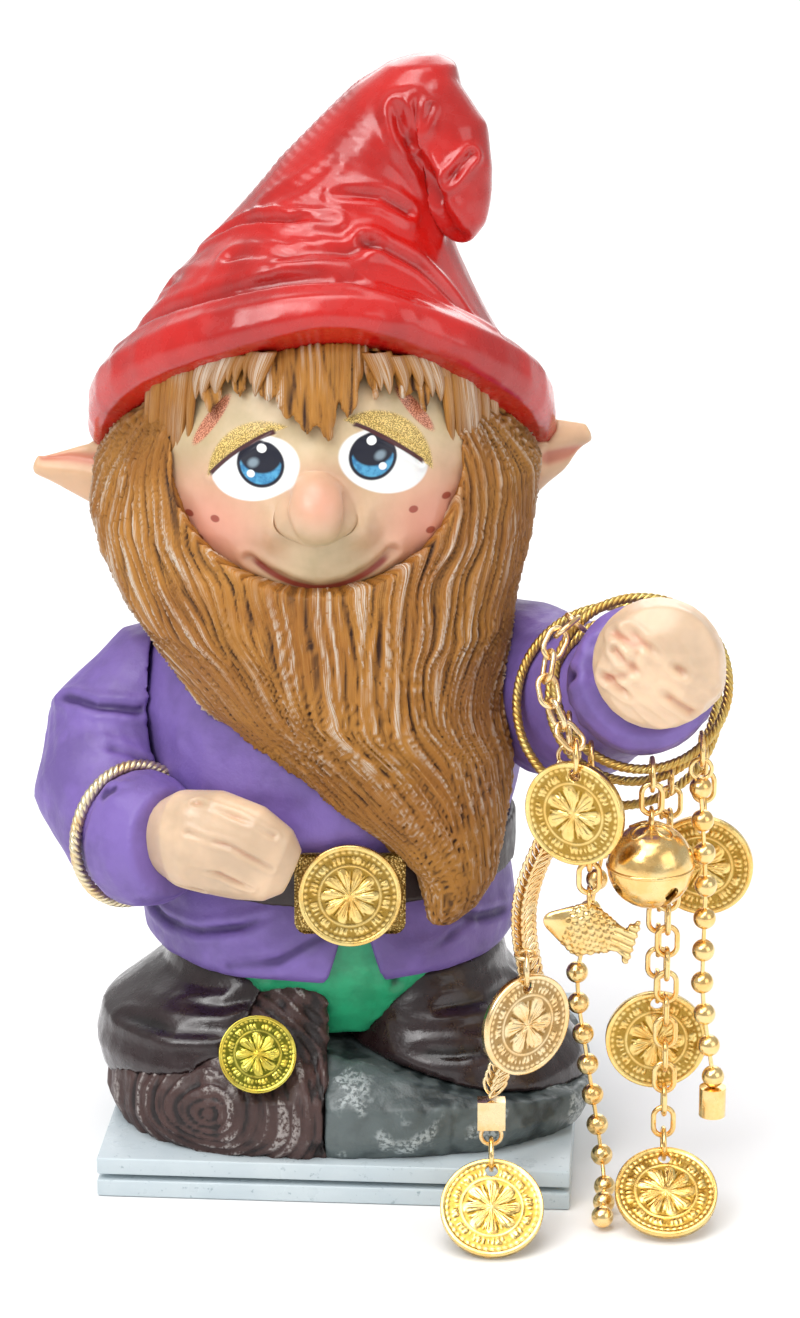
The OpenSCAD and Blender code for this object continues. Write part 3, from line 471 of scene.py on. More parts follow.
EAR = resin("ear_skin", (0.78, 0.5, 0.3), (0.6, 0.22, 0.13), (0.85, 0.62, 0.45), 0.36, **FLESH_FINISH)
FACE = face_paint()
HAIR = hair_paint()
GLITTER = glitter_paint("buckle_glitter", (0.25, 0.15, 0.03), (0.9, 0.66, 0.25))
BOARD = board_paint()
CORE = resin("board_core", (0.01, 0.01, 0.012), (0, 0, 0), (0.05, 0.05, 0.05), 0.7)


# ---- Castings ----
def arch(points):
    """Raises the front of the brim, and the hair under it, in a soft arch."""
    front = np.clip((-points[:, 1] - 6) / 12, 0, 1)
    low = np.clip((160 - points[:, 2]) / 16, 0, 1) * np.clip((points[:, 2] - 134) / 4, 0, 1)
    points[:, 2] += 3.4 * front * low * np.exp(-(((points[:, 0] + 1) / 15) ** 2))


def hat():
    s = Sculpt(cast("hat", 0.55, 12, 0.1))
    arch(s.points)
    s.relief(0.35 * noise(s.points, 0.06, 1) + 0.12 * noise(s.points, 0.18, 2))
    brim = [(-37, -3, 141), (-32, -9, 146), (-26, -15, 149), (-19, -19, 152), (-10, -21, 154), (-4, -22, 155),
            (1, -22, 154), (6, -23, 151), (11, -23, 148), (17, -20, 144), (23, -14, 140), (28, -6, 136)]
    s.crease(brim, 1.3, 0.9, 0.5, 0.5)
    folds = (
        ([(-25, 0, 157), (-18, -5, 161), (-10, -11, 162.5), (-2, -12, 162)], 0.8, 0.9),
        ([(-2, -11, 167), (6, -10, 166), (10, -8, 163)], 0.9, 0.7),
        ([(-14, -6, 165), (-8, -8, 168), (-3, -8, 172)], 1.2, 0.5),
        ([(11, -6, 182), (11.4, -6, 178), (11, -6, 174)], 0.9, 1.5),
        ([(13.6, -5, 180), (12.6, -6, 176)], 0.5, 0.6),
        ([(8, -6, 180), (10, -6, 174), (13, -6, 169), (15, -6, 165), (18, -5, 160)], 1.1, 1.6),
        ([(20, -6, 172), (16.5, -8, 168)], 0.7, 0.9),
        ([(3, -15, 160), (12, -13, 155), (17, -12, 149), (22, -13, 144)], 1.0, 0.9),
        ([(-19, -12, 156), (-10, -17, 157), (0, -17, 158), (5, -15, 160)], 1.1, 0.7),
        ([(-1, -22, 153), (4, -24, 151), (9, -25, 149)], 0.9, 0.5),
        ([(-30, -2, 150), (-22, -11, 152), (-12, -17, 155)], 1.1, 0.5),
    )
    for line, width, depth in folds:
        s.crease(line, width, depth, 0.6, 0.5)
    # Fine slanting tool marks up the left of the cone
    marks = np.exp(-(((s.points[:, 0] + 9) / 9) ** 2)) * (s.points[:, 2] > 158) * (s.points[:, 2] < 182)
    s.relief(marks * 0.07 * np.sin(s.points[:, 2] * 4.2 + s.points[:, 0] * 1.1))
    back = (s.points[:, 1] > 8) * 0.6
    s.relief(back * noise(s.points * np.array([1, 1, 2.2]), 0.07, 9))
    s.done("root", RED, ["hat"])


def head():
    s = Sculpt(cast("head", 0.45, 10, 0.05))
    s.bump((-4.6, -35.5, 117.5), 4.0, 0.9)
    s.bump((-11.4, -30, 115.4), 2.9, 2.3)
    s.bump((2.2, -30, 115.6), 2.9, 2.3)
    s.crease([(-9.6, -32, 120.5), (-9.5, -33, 117), (-8.7, -33, 113.6)], 1.2, 1.1, 0.1, 0.25)
    s.crease([(0.4, -32, 120.5), (0.3, -33, 117), (-0.5, -33, 113.6)], 1.2, 1.1, 0.1, 0.25)
    s.bump((-5, -29, 125), 3.2, 0.9)
    s.bump((-20.5, -24, 112.5), 6.5, 1.2)
    s.bump((11.5, -24, 113), 6.5, 1.2)
    s.bump((-4.7, -28.5, 101.8), 4.5, 0.8)
    s.bump((-4.7, -30, 109.3), 4.5, 0.7)
    mouth = [(-15.7, -27, 109.6), (-13, -28, 107.4), (-9, -29, 105.6), (-4.6, -29, 104.8), (0, -29, 105.6),
             (4.4, -28, 108), (7, -27, 110.9)]
    s.crease(mouth, 0.8, 0.7, 0.5, 0.0)
    for x in (-8.6, -0.8):
        s.crease([(x, -33, 113.4), (x + (0.6 if x < -5 else -0.6), -33, 112.9)], 0.8, 0.8, 0.1, 0.9)
    s.crease([(-13.2, -28, 117), (-13.6, -27, 112.5), (-15.4, -26, 110)], 1.0, 0.35, 0.3, 0.35)
    s.crease([(4.3, -28, 117), (5, -27, 113), (6.8, -26, 111)], 1.0, 0.35, 0.3, 0.35)
    lids = ([(-22.2, -25, 123), (-17, -27, 127.6), (-12.1, -27, 130.6)],
            [(1.7, -27, 131.5), (7, -26, 128.7), (12, -25, 125.2)])
    for line in lids:
        s.crease(line, 0.5, 0.35, 0.9, 0.0)
    s.done("root", FACE, ["head"])


def flow_map(mesh, places):
    """A UV map from one place a vertex."""
    uv = mesh.uv_layers.new(name="flow")
    corner = np.empty(len(mesh.loops), dtype=np.int32)
    mesh.loops.foreach_get("vertex_index", corner)
    uv.data.foreach_set("uv", places[corner].ravel())


def strands(s, across, along, coarse, amp, seed):
    """Carves locks and finer strands, and lays the flow map that the paint follows."""
    wander = 0.09 * noise(np.stack([across * 1.6, along / 16, along * 0], 1), 1.0, seed)
    wander += 0.03 * noise(np.stack([across * 5, along / 7, along * 0], 1), 1.0, seed + 1)
    lane = across + wander
    wave = np.zeros(len(across))
    for frequency, weight, drift in ((coarse / 3.4, 0.5, 24), (coarse, 0.7, 13), (coarse * 2.3, 0.45, 8)):
        bend = noise(np.stack([lane * frequency * 0.6, along / drift, along * 0], 1), 1.0, seed + 2)
        cell = lane * frequency + 0.8 * bend
        ridge = 1 - np.abs(2 * (cell - np.floor(cell)) - 1)
        wave += weight * (ridge**0.7 - 0.55)
    s.relief(amp * wave, 0.95 * wave)
    flow_map(s.obj.data, np.stack([lane, along / 100], 1).astype(np.float32))


def beard():
    s = Sculpt(cast("beard", 0.5, 8, 0.05))
    z = s.points[:, 2]
    levels = np.linspace(z.min() + 0.5, z.max() - 0.5, 50)
    middle, half = [], []
    for level in levels:
        near = s.points[np.abs(z - level) < 1.2]
        low, high = near.min(0), near.max(0)
        middle.append((low + high) / 2)
        half.append((high - low) / 2)
    middle, half = np.array(middle), np.array(half)
    mx, my = np.interp(z, levels, middle[:, 0]), np.interp(z, levels, middle[:, 1])
    hx, hy = np.interp(z, levels, half[:, 0]), np.interp(z, levels, half[:, 1])
    angle = np.arctan2((s.points[:, 0] - mx) / hx, -(s.points[:, 1] - my) / hy)
    out = np.hypot((s.points[:, 0] - mx) / hx, (s.points[:, 1] - my) / hy)
    outer = np.clip((out - 0.86) * 12, 0, 1)
    fade = np.clip(hx / 22, 0.35, 1)
    strands(s, angle, z, 15, 1.15, 5)
    s.push *= fade * np.maximum(outer, 0.25)
    s.done("root", HAIR, ["beard"])


def fringe():
    s = Sculpt(cast("hair_fringe", 0.35, 4, 0.25))
    raised = s.points.copy()
    arch(raised)
    s.points[:, 2] += (raised[:, 2] - s.points[:, 2]) * np.clip((s.points[:, 2] - 136) / 4, 0, 1)
    fan = s.points[:, 0] / 20 + 0.004 * (s.points[:, 2] - 140) * (s.points[:, 0] + 5) / 20
    strands(s, fan, s.points[:, 2], 9, 0.8, 11)
    s.done("root", HAIR, ["hair_fringe"])


def rim_faces(faces, base, loops, rim):
    """Closes loops of points, one after another from a base index, into a capped tube."""
    for j in range(loops - 1):
        here, there = base + j * rim, base + (j + 1) * rim
        for m in range(rim):
            n = (m + 1) % rim
            faces.append([here + m, here + n, there + n, there + m])
    faces.append([base + m for m in reversed(range(rim))])
    faces.append([base + (loops - 1) * rim + m for m in range(rim)])


def outward_faces(mesh):
    bm = bmesh.new()
    bm.from_mesh(mesh)
    bmesh.ops.recalc_face_normals(bm, faces=bm.faces)
    bm.to_mesh(mesh)
    bm.free()


def temple_locks():
    """Tapering locks that hang from under the brim and frame the face."""
    verts, faces, shade_and_wear, flow = [], [], [], []
    roots = (-30.5, -29, -28, -26, -24, -21.5, -18, -14, 5, 9, 12, 14.5, 17, 19, 20.5, 21.5)
    middle, head_r, steps, rim = -5, 32, 12, 8
    for i, x in enumerate(roots):
        side = -1 if x < middle else 1
        for copy in range(3):
            shift = (copy - 1) * 1.25
            wave = math.sin(i * 2.4 + copy * 1.9)
            reach = 13 + 9 * min(1, abs(x - middle) / 26) ** 2 + 1.6 * wave
            if abs(x - middle) < 21:
                reach = 5.5 + 1.6 * wave
            base = len(verts)
            for j in range(steps + 1):
                u = j / steps
                px = x + shift + side * (1.6 * math.sin(u * 1.6) + 0.5 * wave * u)
                pz = 145 - 2.2 * abs(x - middle) / 12 - reach * u
                flat = abs(px - middle) / 31.6
                py = -0.3 - 28.2 * math.sqrt(max(0.02, 1 - min(0.98, flat**2))) + 0.16 * max(0, pz - 134) ** 1.25
                width = (1.5 * (1 - u**2.2) + 0.12) * (0.8 + 0.2 * wave)
                lean = (px - middle) / head_r
                around = np.array([math.sqrt(max(0, 1 - lean**2)), side * abs(lean), 0])
                outward = np.array([lean, -math.sqrt(max(0.05, 1 - lean**2)), 0])
                for m in range(rim):
                    a = 2 * math.pi * m / rim
                    off = around * width * math.cos(a) + outward * (0.9 * width * math.sin(a) - 0.1)
                    verts.append((np.array([px, py, pz]) + off) * MM)
                    # Painted shade on the side of each lock that faces the head; the outer side takes the dry
                    # brushing.
                    shade_and_wear.append(0.3 * math.sin(a) + 0.1 * wave)
                    flow.append((i * 0.13 + copy * 0.04 + 0.05 * math.cos(a), pz / 100))
            rim_faces(faces, base, steps + 1, rim)
    mesh = bpy.data.meshes.new("temple_locks")
    mesh.from_pydata([tuple(v) for v in verts], [], faces)
    outward_faces(mesh)
    mesh.attributes.new("shade_and_wear", "FLOAT", "POINT").data.foreach_set("value", np.array(shade_and_wear, np.float32))
    flow_map(mesh, np.array(flow, np.float32))
    obj = new_object("temple_locks", mesh, "root", HAIR)


def cloth_casting(node, voxel, smooth, creases, seed, material=VIOLET, swell=0.35):
    """A garment or boot: soft swells, and creases given as line, width and depth."""
    s = Sculpt(cast(node, voxel, smooth))
    s.relief(swell * noise(s.points, 0.09, seed) + 0.12 * noise(s.points, 0.25, seed + 1),
             0.25 * noise(s.points, 0.12, seed + 2))
    for line, width, depth in creases:
        s.crease(line, width, depth)
    s.done("root", material, [node])


def garments():
    cloth_casting("coat", 0.6, 8, (
        ([(-36, -8, 44), (-31, -18, 42.5), (-25, -24, 43), (-18, -29, 45.5), (-12, -32, 49)], 0.8, 0.9),
        ([(-3, -33, 46), (-12, -31, 40), (-20, -27, 38)], 1.1, 0.6),
        ([(5, -32, 47), (9, -32, 42), (15, -28, 41), (22, -22, 45)], 0.8, 0.9),
        ([(14, -26, 48), (22, -20, 44), (29, -10, 42)], 0.9, 0.7),
        ([(-26, -20, 76), (-20, -24, 70), (-17, -26, 62)], 1.2, 0.7),
        ([(-33, 4, 70), (-28, -16, 66), (-20, -25, 64)], 1.2, 0.7),
        ([(28, -12, 72), (26, -17, 66), (27, -15, 61)], 1.1, 0.7),
        ([(-25, 20, 46), (-10, 27, 43), (8, 27, 45)], 1.0, 0.6),
        ([(-3, 28, 48), (-3, 27, 38)], 0.7, 0.9),
    ), 21)
    cloth_casting("right_sleeve", 0.5, 8, (
        ([(-50, -8, 80), (-43, -14, 80), (-36, -14, 79), (-28, -14, 81)], 0.9, 0.9),
        ([(-47, -14, 74), (-40, -18, 73), (-33, -18, 70)], 0.9, 0.9),
        ([(-52, -2, 72), (-52, -8, 66), (-49, -16, 62)], 1.1, 0.7),
        ([(-31, -12, 72), (-27, -16, 74), (-24, -18, 78)], 1.0, 0.7),
    ), 31)
    cloth_casting("left_sleeve", 0.5, 8, (
        ([(31, -20, 88), (36, -24, 80), (42, -26, 76)], 1.0, 0.8),
        ([(26, -10, 84), (28, -18, 76), (34, -20, 71)], 1.0, 0.8),
        ([(38, -28, 95), (38, -32, 88), (42, -34, 82)], 0.9, 0.7),
        ([(45, -10, 88), (48, -20, 86), (52, -28, 88)], 1.0, 0.6),
    ), 41)
    puffs = [([(-41 + 2 * i, -27 - i, 70 - 0.5 * i), (-38 + 2 * i, -31 - 0.5 * i, 62)], 0.9, 0.6) for i in range(3)]
    cloth_casting("right_cuff", 0.4, 7, puffs + [([(-41, -26, 56), (-34, -32, 53)], 0.9, 0.7)], 51)
    ring = []
    for i in range(9):
        a = math.radians(40 * i + 14)
        x, up = 47.4 + 11.8 * math.cos(a), 11.8 * math.sin(a)
        ring.append(([(x, -44 - 0.44 * up, 93.2 + 0.9 * up), (x, -49 - 0.44 * up, 95.4 + 0.9 * up)], 1.0, 0.9))
    cloth_casting("left_cuff", 0.4, 6, ring, 61, swell=0.5)
    cloth_casting("trousers", 0.55, 8, (
        ([(-28, -18, 46), (-27, -19, 36)], 1.0, 0.7), ([(-14, -27, 44), (-15, -27, 34)], 1.0, 0.7),
        ([(6, -27, 44), (8, -26, 34)], 1.0, 0.7), ([(20, -20, 44), (19, -20, 34)], 1.0, 0.7),
    ), 71, GREEN, swell=0.5)


def boots():
    right = (([(-39, -16, 32), (-32, -24, 31), (-22, -27, 31), (-10, -26, 33)], 1.2, 0.9),
             ([(-40, -20, 27), (-30, -29, 27), (-18, -31, 28)], 1.2, 0.6))
    left = (([(2, -28, 31), (14, -27, 30), (24, -22, 30), (30, -12, 30)], 1.2, 0.9),
            ([(4, -31, 24), (18, -30, 23), (32, -24, 21)], 1.3, 0.6))
    for node, seed, lines in (("right_boot", 81, right), ("left_boot", 91, left)):
        cloth_casting(node, 0.5, 10, lines, seed, DARK, swell=0.4)


def base():
    s = Sculpt(cast("base_log", 0.5, 5))
    q = s.points + 1.6 * np.stack([noise(s.points, 0.12, i) for i in (1, 2, 3)], 1)
    rings = np.hypot(q[:, 0] + 24, (q[:, 2] - 15) * 1.15)
    front = np.clip((-s.points[:, 1] - 18) / 8, 0, 1)
    grooves = np.sin(rings * 3.1) * 0.5 + np.sin(rings * 6.7) * 0.25
    bark = fractal(s.points * np.array([1.6, 1.6, 0.35]), 0.22, 3, 4)
    s.relief(0.42 * grooves * front + 0.55 * bark * (1 - 0.5 * front), 0.75 * grooves * front + 0.8 * bark)
    s.crease([(-5.2, -38, 8), (-4.6, -37, 16), (-6, -33, 24), (-7, -29, 31)], 1.3, 1.1)
    s.done("root", LOG, ["base_log"])
    s = Sculpt(cast("base_rock", 0.5, 5))
    facets = np.abs(noise(s.points, 0.085, 7)) + 0.5 * np.abs(noise(s.points, 0.2, 8)) - 0.5
    fine = fractal(s.points, 0.5, 2, 9)
    s.relief(1.2 * facets + 0.15 * fine, 1.5 * facets + 0.5 * fine)
    s.done("root", ROCK, ["base_rock"])


def flesh():
    s = Sculpt(cast("right_hand", 0.35, 8))
    right = ([(-25, -37, 70.5), (-18, -40, 69), (-12, -41, 66)], [(-26, -39, 66), (-19, -42, 64.5), (-12.5, -43, 61)],
             [(-27, -38, 60.5), (-21, -41, 59.5), (-16, -42, 57)], [(-29, -36, 57), (-24, -38, 55.5)])
    for line in right:
        s.crease(line, 0.45, 0.6, 0.35, 0.45)
    for c in ((-26.5, -37, 68.5), (-27.5, -38.5, 63.5), (-27, -38, 58.5)):
        s.bump(c, 2.4, 0.7)
    s.done("root", SKIN, ["right_hand"])
    s = Sculpt(cast("left_hand", 0.35, 8))
    left = ([(44, -58, 106.5), (50, -61.5, 102), (57, -58, 97)], [(42.4, -58, 103), (48, -62, 98), (54.5, -59, 93)],
            [(41, -57, 99), (45, -61, 95), (50, -60, 91)])
    for line in left:
        s.crease(line, 0.65, 0.9, 0.5, 0.5)
    s.crease([(41, -56, 106), (45.5, -60, 104), (45, -61, 100), (40.5, -58, 98.4)], 0.7, 0.8, 0.5, 0.7)
    s.bump((42.5, -59, 102), 2.4, 0.9)
    for c in ((52.5, -57, 106), (56.5, -56, 101), (57.5, -55, 96)):
        s.bump(c, 3.0, 0.8)
    s.done("root", SKIN, ["left_hand"])
    for node, side in (("right_ear", -1), ("left_ear", 1)):
        s = Sculpt(cast(node, 0.3, 7, 0.2))
        x = -5 + side * 39
        s.crease([(x, 1.5, 119), (x + side * 4, 2.5, 119.5), (x + side * 8, 3.2, 119.5)], 1.5, 0.9, 0.4, 0.9)
        s.done("root", EAR, [node])


def belt_and_buckle():
    s = Sculpt(cast("belt", 0.45, 4, 0.15))
    s.relief(0.12 * noise(s.points, 0.3, 3), 0.5 * noise(s.points, 0.25, 4))
    s.done("root", BELT, ["belt"])
    carry("buckle_plate", GLITTER, 1.6)


# ---- Metalwork ----
def disc_frame(node):
    """Centre, face normal, upward direction and radius of a disc or ring, in millimetres."""
    points = coords(frame["nodes"][node].data)
    unique = np.unique(points.round(3), axis=0)
    _, _, axes = np.linalg.svd(unique - unique.mean(0), full_matrices=False)
    normal = axes[2] * (-1 if axes[2][1] > 0 else 1)
    up = np.array([0, 0, 1.0]) - normal * normal[2]
    up /= np.linalg.norm(up)
    side = np.cross(up, normal)
    u, v, w = unique @ side, unique @ up, unique @ normal
    centre = side * (u.min() + u.max()) / 2 + up * (v.min() + v.max()) / 2 + normal * (w.min() + w.max()) / 2
    return centre, normal, up, side, (u.max() - u.min()) / 2


def coin_height(r, a, petals, seed):
    """Stamped relief: raised rim, beads, a ring of plain strokes and a leaf rosette."""
    height = 0.25 * (r > 0.93)
    height = height + 0.16 * np.exp(-(((r - 0.87) / 0.025) ** 2)) * (0.5 + 0.5 * np.cos(a * 44))
    strokes = np.sin(a * 29 + seed) * np.sin(a * 17 + 2 * seed) + 0.35 * np.sin(a * 53 + r * 30)
    height = height + 0.2 * np.exp(-(((r - 0.72) / 0.06) ** 4)) * np.clip(strokes * 2.2, 0, 1)
    height = height + 0.1 * np.exp(-(((r - 0.6) / 0.018) ** 2))
    leaf = np.abs(np.cos(a * petals / 2 + 0.6 * np.sin(r * 6)))
    rosette = np.clip((leaf - 1.35 * np.abs(r - 0.3) * 2.2) * 1.8, 0, 1) * (r < 0.56)
    vein = 0.06 * np.cos(a * petals * 4) * (r < 0.5) * (r > 0.12)
    dome = 0.22 * np.exp(-((r / 0.09) ** 2))
    return height + 0.26 * rosette + vein + dome


def coin(node, petals, material, holed=True):
    """A struck coin in place of a CAD one, with both faces in relief."""
    centre, normal, up, side, radius = disc_frame(node)
    thick, hole_in, hole_r = 0.5, 2.0, 1.1
    rings, turns = 44, 176
    r = np.linspace(0, 1, rings + 1)[1:]
    a = np.arange(turns) * 2 * math.pi / turns
    rr, aa = np.meshgrid(r, a, indexing="ij")
    relief = coin_height(rr, aa, petals, petals)
    verts, shade_and_wear, faces = [], [], []
    for face in (1, -1):
        base = len(verts)
        verts.append(centre + normal * face * (thick + 0.2))
        shade_and_wear.append(0.4)
        flat = rr[..., None] * radius * (np.cos(aa)[..., None] * side + np.sin(aa)[..., None] * up)
        block = centre + flat + normal * face * (thick + relief * 0.9)[..., None]
        verts += list(block.reshape(-1, 3))
        shade_and_wear += list(((relief - 0.13) * 5).ravel())
        for j in range(turns):
            k = (j + 1) % turns
            tri = [base, base + 1 + j, base + 1 + k]
            faces.append(tri if face > 0 else tri[::-1])
            for i in range(rings - 1):
                near, out = base + 1 + i * turns, base + 1 + (i + 1) * turns
                quad = [near + j, out + j, out + k, near + k]
                faces.append(quad if face > 0 else quad[::-1])
    count = 1 + rings * turns
    for j in range(turns):
        k = (j + 1) % turns
        top, low = 1 + (rings - 1) * turns, count + 1 + (rings - 1) * turns
        faces.append([top + k, top + j, low + j, low + k])
    mesh = bpy.data.meshes.new(node + "_coin")
    mesh.from_pydata([tuple(v * MM) for v in verts], [], faces)
    layer = mesh.attributes.new("shade_and_wear", "FLOAT", "POINT")
    layer.data.foreach_set("value", np.clip(np.array(shade_and_wear), -1, 1).astype(np.float32))
    obj = new_object(node + "_struck", mesh, BODY_OF[node], material, [node])
    outward_faces(mesh)
    if holed:
        place = Vector(centre + up * (radius - hole_in)) * MM
        bpy.ops.mesh.primitive_cylinder_add(vertices=28, radius=hole_r * MM, depth=6 * MM, location=place)
        drill = bpy.context.active_object
        drill.rotation_mode = "QUATERNION"
        drill.rotation_quaternion = Vector(normal).to_track_quat("Z", "Y")
        bpy.context.view_layer.update()
        apply(obj, "BOOLEAN", object=drill, operation="DIFFERENCE", solver="EXACT")
        bpy.data.objects.remove(drill)
        obj.data.polygons.foreach_set("use_smooth", [True] * len(obj.data.polygons))


def rope_paths(centre, side, up, normal, rx, ry, strand, lay):
    """Three strands laid round an oval."""
    turns = max(6, round(math.pi * (rx + ry) / lay))
    steps = turns * 10
    paths = []
    for k in range(3):
        path = []
        for i in range(steps):
            a, t = 2 * math.pi * i / steps, 2 * math.pi * (turns * i / steps + k / 3)
            out = math.cos(a) * side + math.sin(a) * up
            path.append(centre + rx * math.cos(a) * side + ry * math.sin(a) * up
                        + strand * (math.cos(t) * out + math.sin(t) * normal))
        paths.append((path, True))
    return paths


def cords():
    for node in ("wrist_cord_front", "wrist_cord_middle", "wrist_cord_back"):
        centre, normal, up, side, radius = disc_frame(node)
        middle = radius - 0.8
        mesh = tube_mesh(node + "_rope", rope_paths(centre, side, up, normal, middle, middle, 0.4, 3.0), 0.43)
        new_object(node + "_rope", mesh, "root", CORD_GOLD, [node])
    centre, turn = np.array([-36.6, -21.3, 59.5]), math.radians(33)
    side, up = np.array([math.cos(turn), math.sin(turn), 0]), np.array([0, 0, 1.0])
    mesh = tube_mesh("cuff_rope", rope_paths(centre, side, up, np.cross(side, up), 10.9, 12.05, 0.5, 3.4), 0.56)
    new_object("right_cuff_rope", mesh, "root", DULL_CORD, ["right_cuff_cord"])


def wheat():
    """The woven chain: pairs of slanting ovals down its middle line."""
    points = coords(frame["nodes"]["wheat_chain"].data)
    body = points[points[:, 1] > points[:, 1].max() - 2.3]
    top, low = body[:, 2].max() - 4.4, body[:, 2].min() + 0.9
    count = int((top - low) / 1.25)
    plane_y = (body[:, 1].min() + body[:, 1].max()) / 2
    middles = []
    for i in range(count + 1):
        z = top - (top - low) * i / count
        near = body[np.abs(body[:, 2] - z) < 2.2]
        middles.append(np.array([(near[:, 0].min() + near[:, 0].max()) / 2, plane_y, z]))
    middles = np.array(middles)
    for _ in range(4):
        middles[1:-1, 0] = (middles[:-2, 0] + middles[1:-1, 0] + middles[2:, 0]) / 3
    paths = []
    for i in range(count):
        way = middles[i + 1] - middles[i]
        way /= np.linalg.norm(way)
        across = np.cross(way, [0, 1, 0])
        for side in (-1, 1):
            lean = math.radians(34) * side
            long_way = way * math.cos(lean) + across * math.sin(lean)
            short = np.cross(long_way, [0, 1, 0])
            centre = middles[i] - across * side * 0.75
            oval = []
            for k in range(14):
                a = 2 * math.pi * k / 14
                depth = np.array([0, 0.55 * math.sin(a + side) + 0.2 * side, 0])
                oval.append(centre + 1.75 * math.cos(a) * long_way + 0.62 * math.sin(a) * short + depth)
            paths.append((oval, True))
    # The upright top eye, and the level eye that carries the middle coin
    eye_r, turns = 1.7, np.linspace(0, 2 * math.pi, 29)[:-1]
    top_eye = middles[0] + np.array([0, 0, 2.6])
    front_y = points[:, 1].min()
    flat_z = points[points[:, 1] < front_y + 1.0][:, 2]
    level_eye = np.array([np.mean(points[points[:, 1] < front_y + 0.5][:, 0]), front_y + 2.05,
                          (flat_z.min() + flat_z.max()) / 2])
    eyes = [([top_eye + eye_r * np.array([math.cos(a), 0, math.sin(a)]) for a in turns], True),
            ([level_eye + eye_r * np.array([math.cos(a), math.sin(a), 0]) for a in turns], True)]
    mesh = tube_mesh("wheat_weave", paths, 0.3, 6)
    new_object("wheat_weave", mesh, "wheat_strand", PALE_GOLD, ["wheat_chain"])
    obj = new_object("wheat_eyes", tube_mesh("wheat_eyes", eyes, 0.35, 10), "wheat_strand", PALE_GOLD)


def fish():
    """Scales on the body and rays on the tail."""
    s = Sculpt(cast("fish", 0.22, 4, 0.0))
    low, high = s.points.min(0), s.points.max(0)
    middle = (low + high) / 2
    x, z = s.points[:, 0] - middle[0], s.points[:, 2] - middle[2]
    turn = math.radians(16)
    u, v = x * math.cos(turn) - z * math.sin(turn), x * math.sin(turn) + z * math.cos(turn)
    body = (u > -4.2) & (u < 3.4) & (s.points[:, 2] < high[2] - 3.4)
    row = np.floor(v / 1.1)
    cell = (u / 1.3 + 0.5 * (row % 2)) % 1
    scale = np.abs(cell - 0.5) * 2 + np.abs((v / 1.1) % 1 - 0.5)
    s.relief(np.where(body, 0.28 * (0.6 - scale), 0), np.where(body, 0.9 * (0.6 - scale), 0))
    ray = np.where(u >= 3.6, np.sin(v * 5 + u), 0)
    s.relief(0.16 * ray, 0.6 * ray)
    s.done("fish_charm", GOLD, ["fish"])


def bell():
    """The CAD shell, with a raised seam and four petals on its crown."""
    carry("bell_shell", GOLD)
    centre = disc_frame("bell_shell")[0]
    box_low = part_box("bell_shell")[0]
    radius = 7.0
    middle = np.array([centre[0], centre[1], box_low[2] / MM + radius])
    turns = np.linspace(0, 2 * math.pi, 97)[:-1]
    band = [middle + (radius - 0.1) * np.array([math.cos(a), math.sin(a), 0]) for a in turns]
    obj = new_object("bell_band", tube_mesh("bell_band", [(band, True)], 0.32, 8), "bell", GOLD)
    petals = []
    for k in range(4):
        a = math.pi / 4 + k * math.pi / 2
        way = np.array([math.cos(a), math.sin(a), 0])
        cross = np.array([-way[1], way[0], 0])
        loop = []
        for t in np.linspace(0, 2 * math.pi, 25)[:-1]:
            d = 2.6 + 1.7 * math.cos(t)
            p = way * d + cross * 1.15 * math.sin(t)
            loop.append(middle + np.array([p[0], p[1], math.sqrt(max(0.1, radius**2 - p @ p))]))
        petals.append((loop, True))
    obj = new_object("bell_petals", tube_mesh("bell_petals", petals, 0.22, 6), "bell", GOLD)


def metalwork():
    for node in sorted(frame["nodes"]):
        if node.endswith("_ring") or node.endswith("_chain") and node != "wheat_chain":
            carry(node, PALE_GOLD if node.startswith(("wrist", "wheat", "middle")) else GOLD)
    carry("ball_coupling", GOLD, 0.4)
    carry("wheat_crimp", PALE_GOLD, 0.35)
    carry("bell_pellet", STEEL)
    hung = (("front_coin", 7), ("low_coin", 8), ("middle_coin", 6), ("curb_coin", 9), ("back_coin", 7),
            ("side_coin", 8))
    for node, petals in hung:
        coin(node, petals, PALE_GOLD if node == "middle_coin" else COIN_GOLD)
    coin("buckle_coin", 10, COIN_GOLD, holed=False)
    coin("log_coin", 8, GREEN_GOLD, holed=False)


def plinth():
    carry("plinth_top_leaf", BOARD, 0.35)
    carry("plinth_bottom_leaf", BOARD, 0.35)
    carry("plinth_core", CORE)


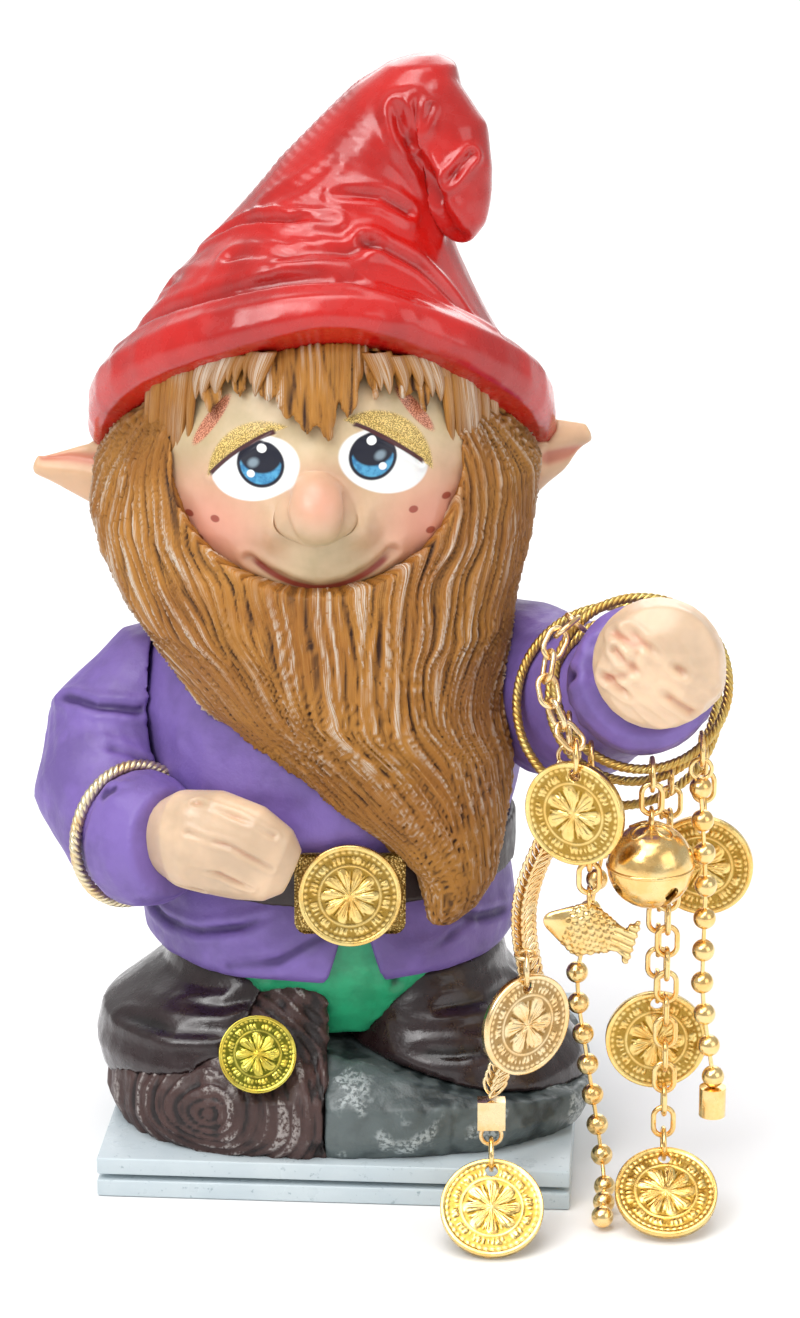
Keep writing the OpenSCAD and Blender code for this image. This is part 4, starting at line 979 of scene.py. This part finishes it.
def studio():
    """Pale floor, soft lights and the camera."""
    bpy.ops.mesh.primitive_plane_add(size=30, location=(0, 0, -0.0001))
    floor = bpy.context.active_object
    floor.name = "floor"
    p = Paint("floor_white", 0.7)
    white = p.mix(p.span(p.noise(2.0), 0.3, 0.7), (0.93, 0.93, 0.93), (0.9, 0.9, 0.9))
    floor.data.materials.append(p.done(white))
    world = bpy.data.worlds.new("studio")
    bpy.context.scene.world = world
    world.use_nodes = True
    world.node_tree.nodes["Background"].inputs["Color"].default_value = (1, 1, 1, 1)
    world.node_tree.nodes["Background"].inputs["Strength"].default_value = 0.5
    figure, far = (0.01, 0, 0.1), (0.1, 1.9, 0)
    lights = (
        ("key", (-0.45, -0.6, 0.65), figure, 0.4, 2.6), ("fill", (0.6, -0.5, 0.4), figure, 0.5, 1.0),
        ("top", (0.05, -0.1, 0.9), figure, 0.5, 1.4), ("back", (0.1, 0.9, 0.6), figure, 0.8, 3.0),
        ("far_floor", (0.1, 1.9, 0.8), far, 2.0, 6.0),
    )
    for name, place, aim, size, power in lights:
        data = bpy.data.lights.new(name, "AREA")
        data.size = size
        data.energy = power
        lamp = bpy.data.objects.new(name, data)
        lamp.location = place
        lamp.rotation_euler = (Vector(aim) - Vector(place)).to_track_quat("-Z", "Y").to_euler()
        bpy.context.scene.collection.objects.link(lamp)
    data = bpy.data.lights.new("sky", "SUN")
    data.energy = 1.5
    data.angle = math.radians(50)
    sky = bpy.data.objects.new("sky", data)
    sky.rotation_euler = (math.radians(20), math.radians(-15), 0)
    bpy.context.scene.collection.objects.link(sky)
    scene = bpy.context.scene
    scene.view_settings.view_transform = "Standard"
    elevation, distance = math.radians(17), 0.65
    target = Vector((0.0086, 0, 0.0838))
    data = bpy.data.cameras.new("camera")
    data.lens = 103
    data.sensor_width = 36
    camera = bpy.data.objects.new("camera", data)
    camera.location = target + distance * Vector((0, -math.cos(elevation), math.sin(elevation)))
    camera.rotation_euler = (target - camera.location).to_track_quat("-Z", "Y").to_euler()
    scene.collection.objects.link(camera)
    scene.camera = camera


bpy.ops.object.select_all(action="DESELECT")
hat()
head()
beard()
fringe()
temple_locks()
garments()
boots()
base()
flesh()
belt_and_buckle()
plinth()
metalwork()
cords()
wheat()
fish()
bell()
studio()
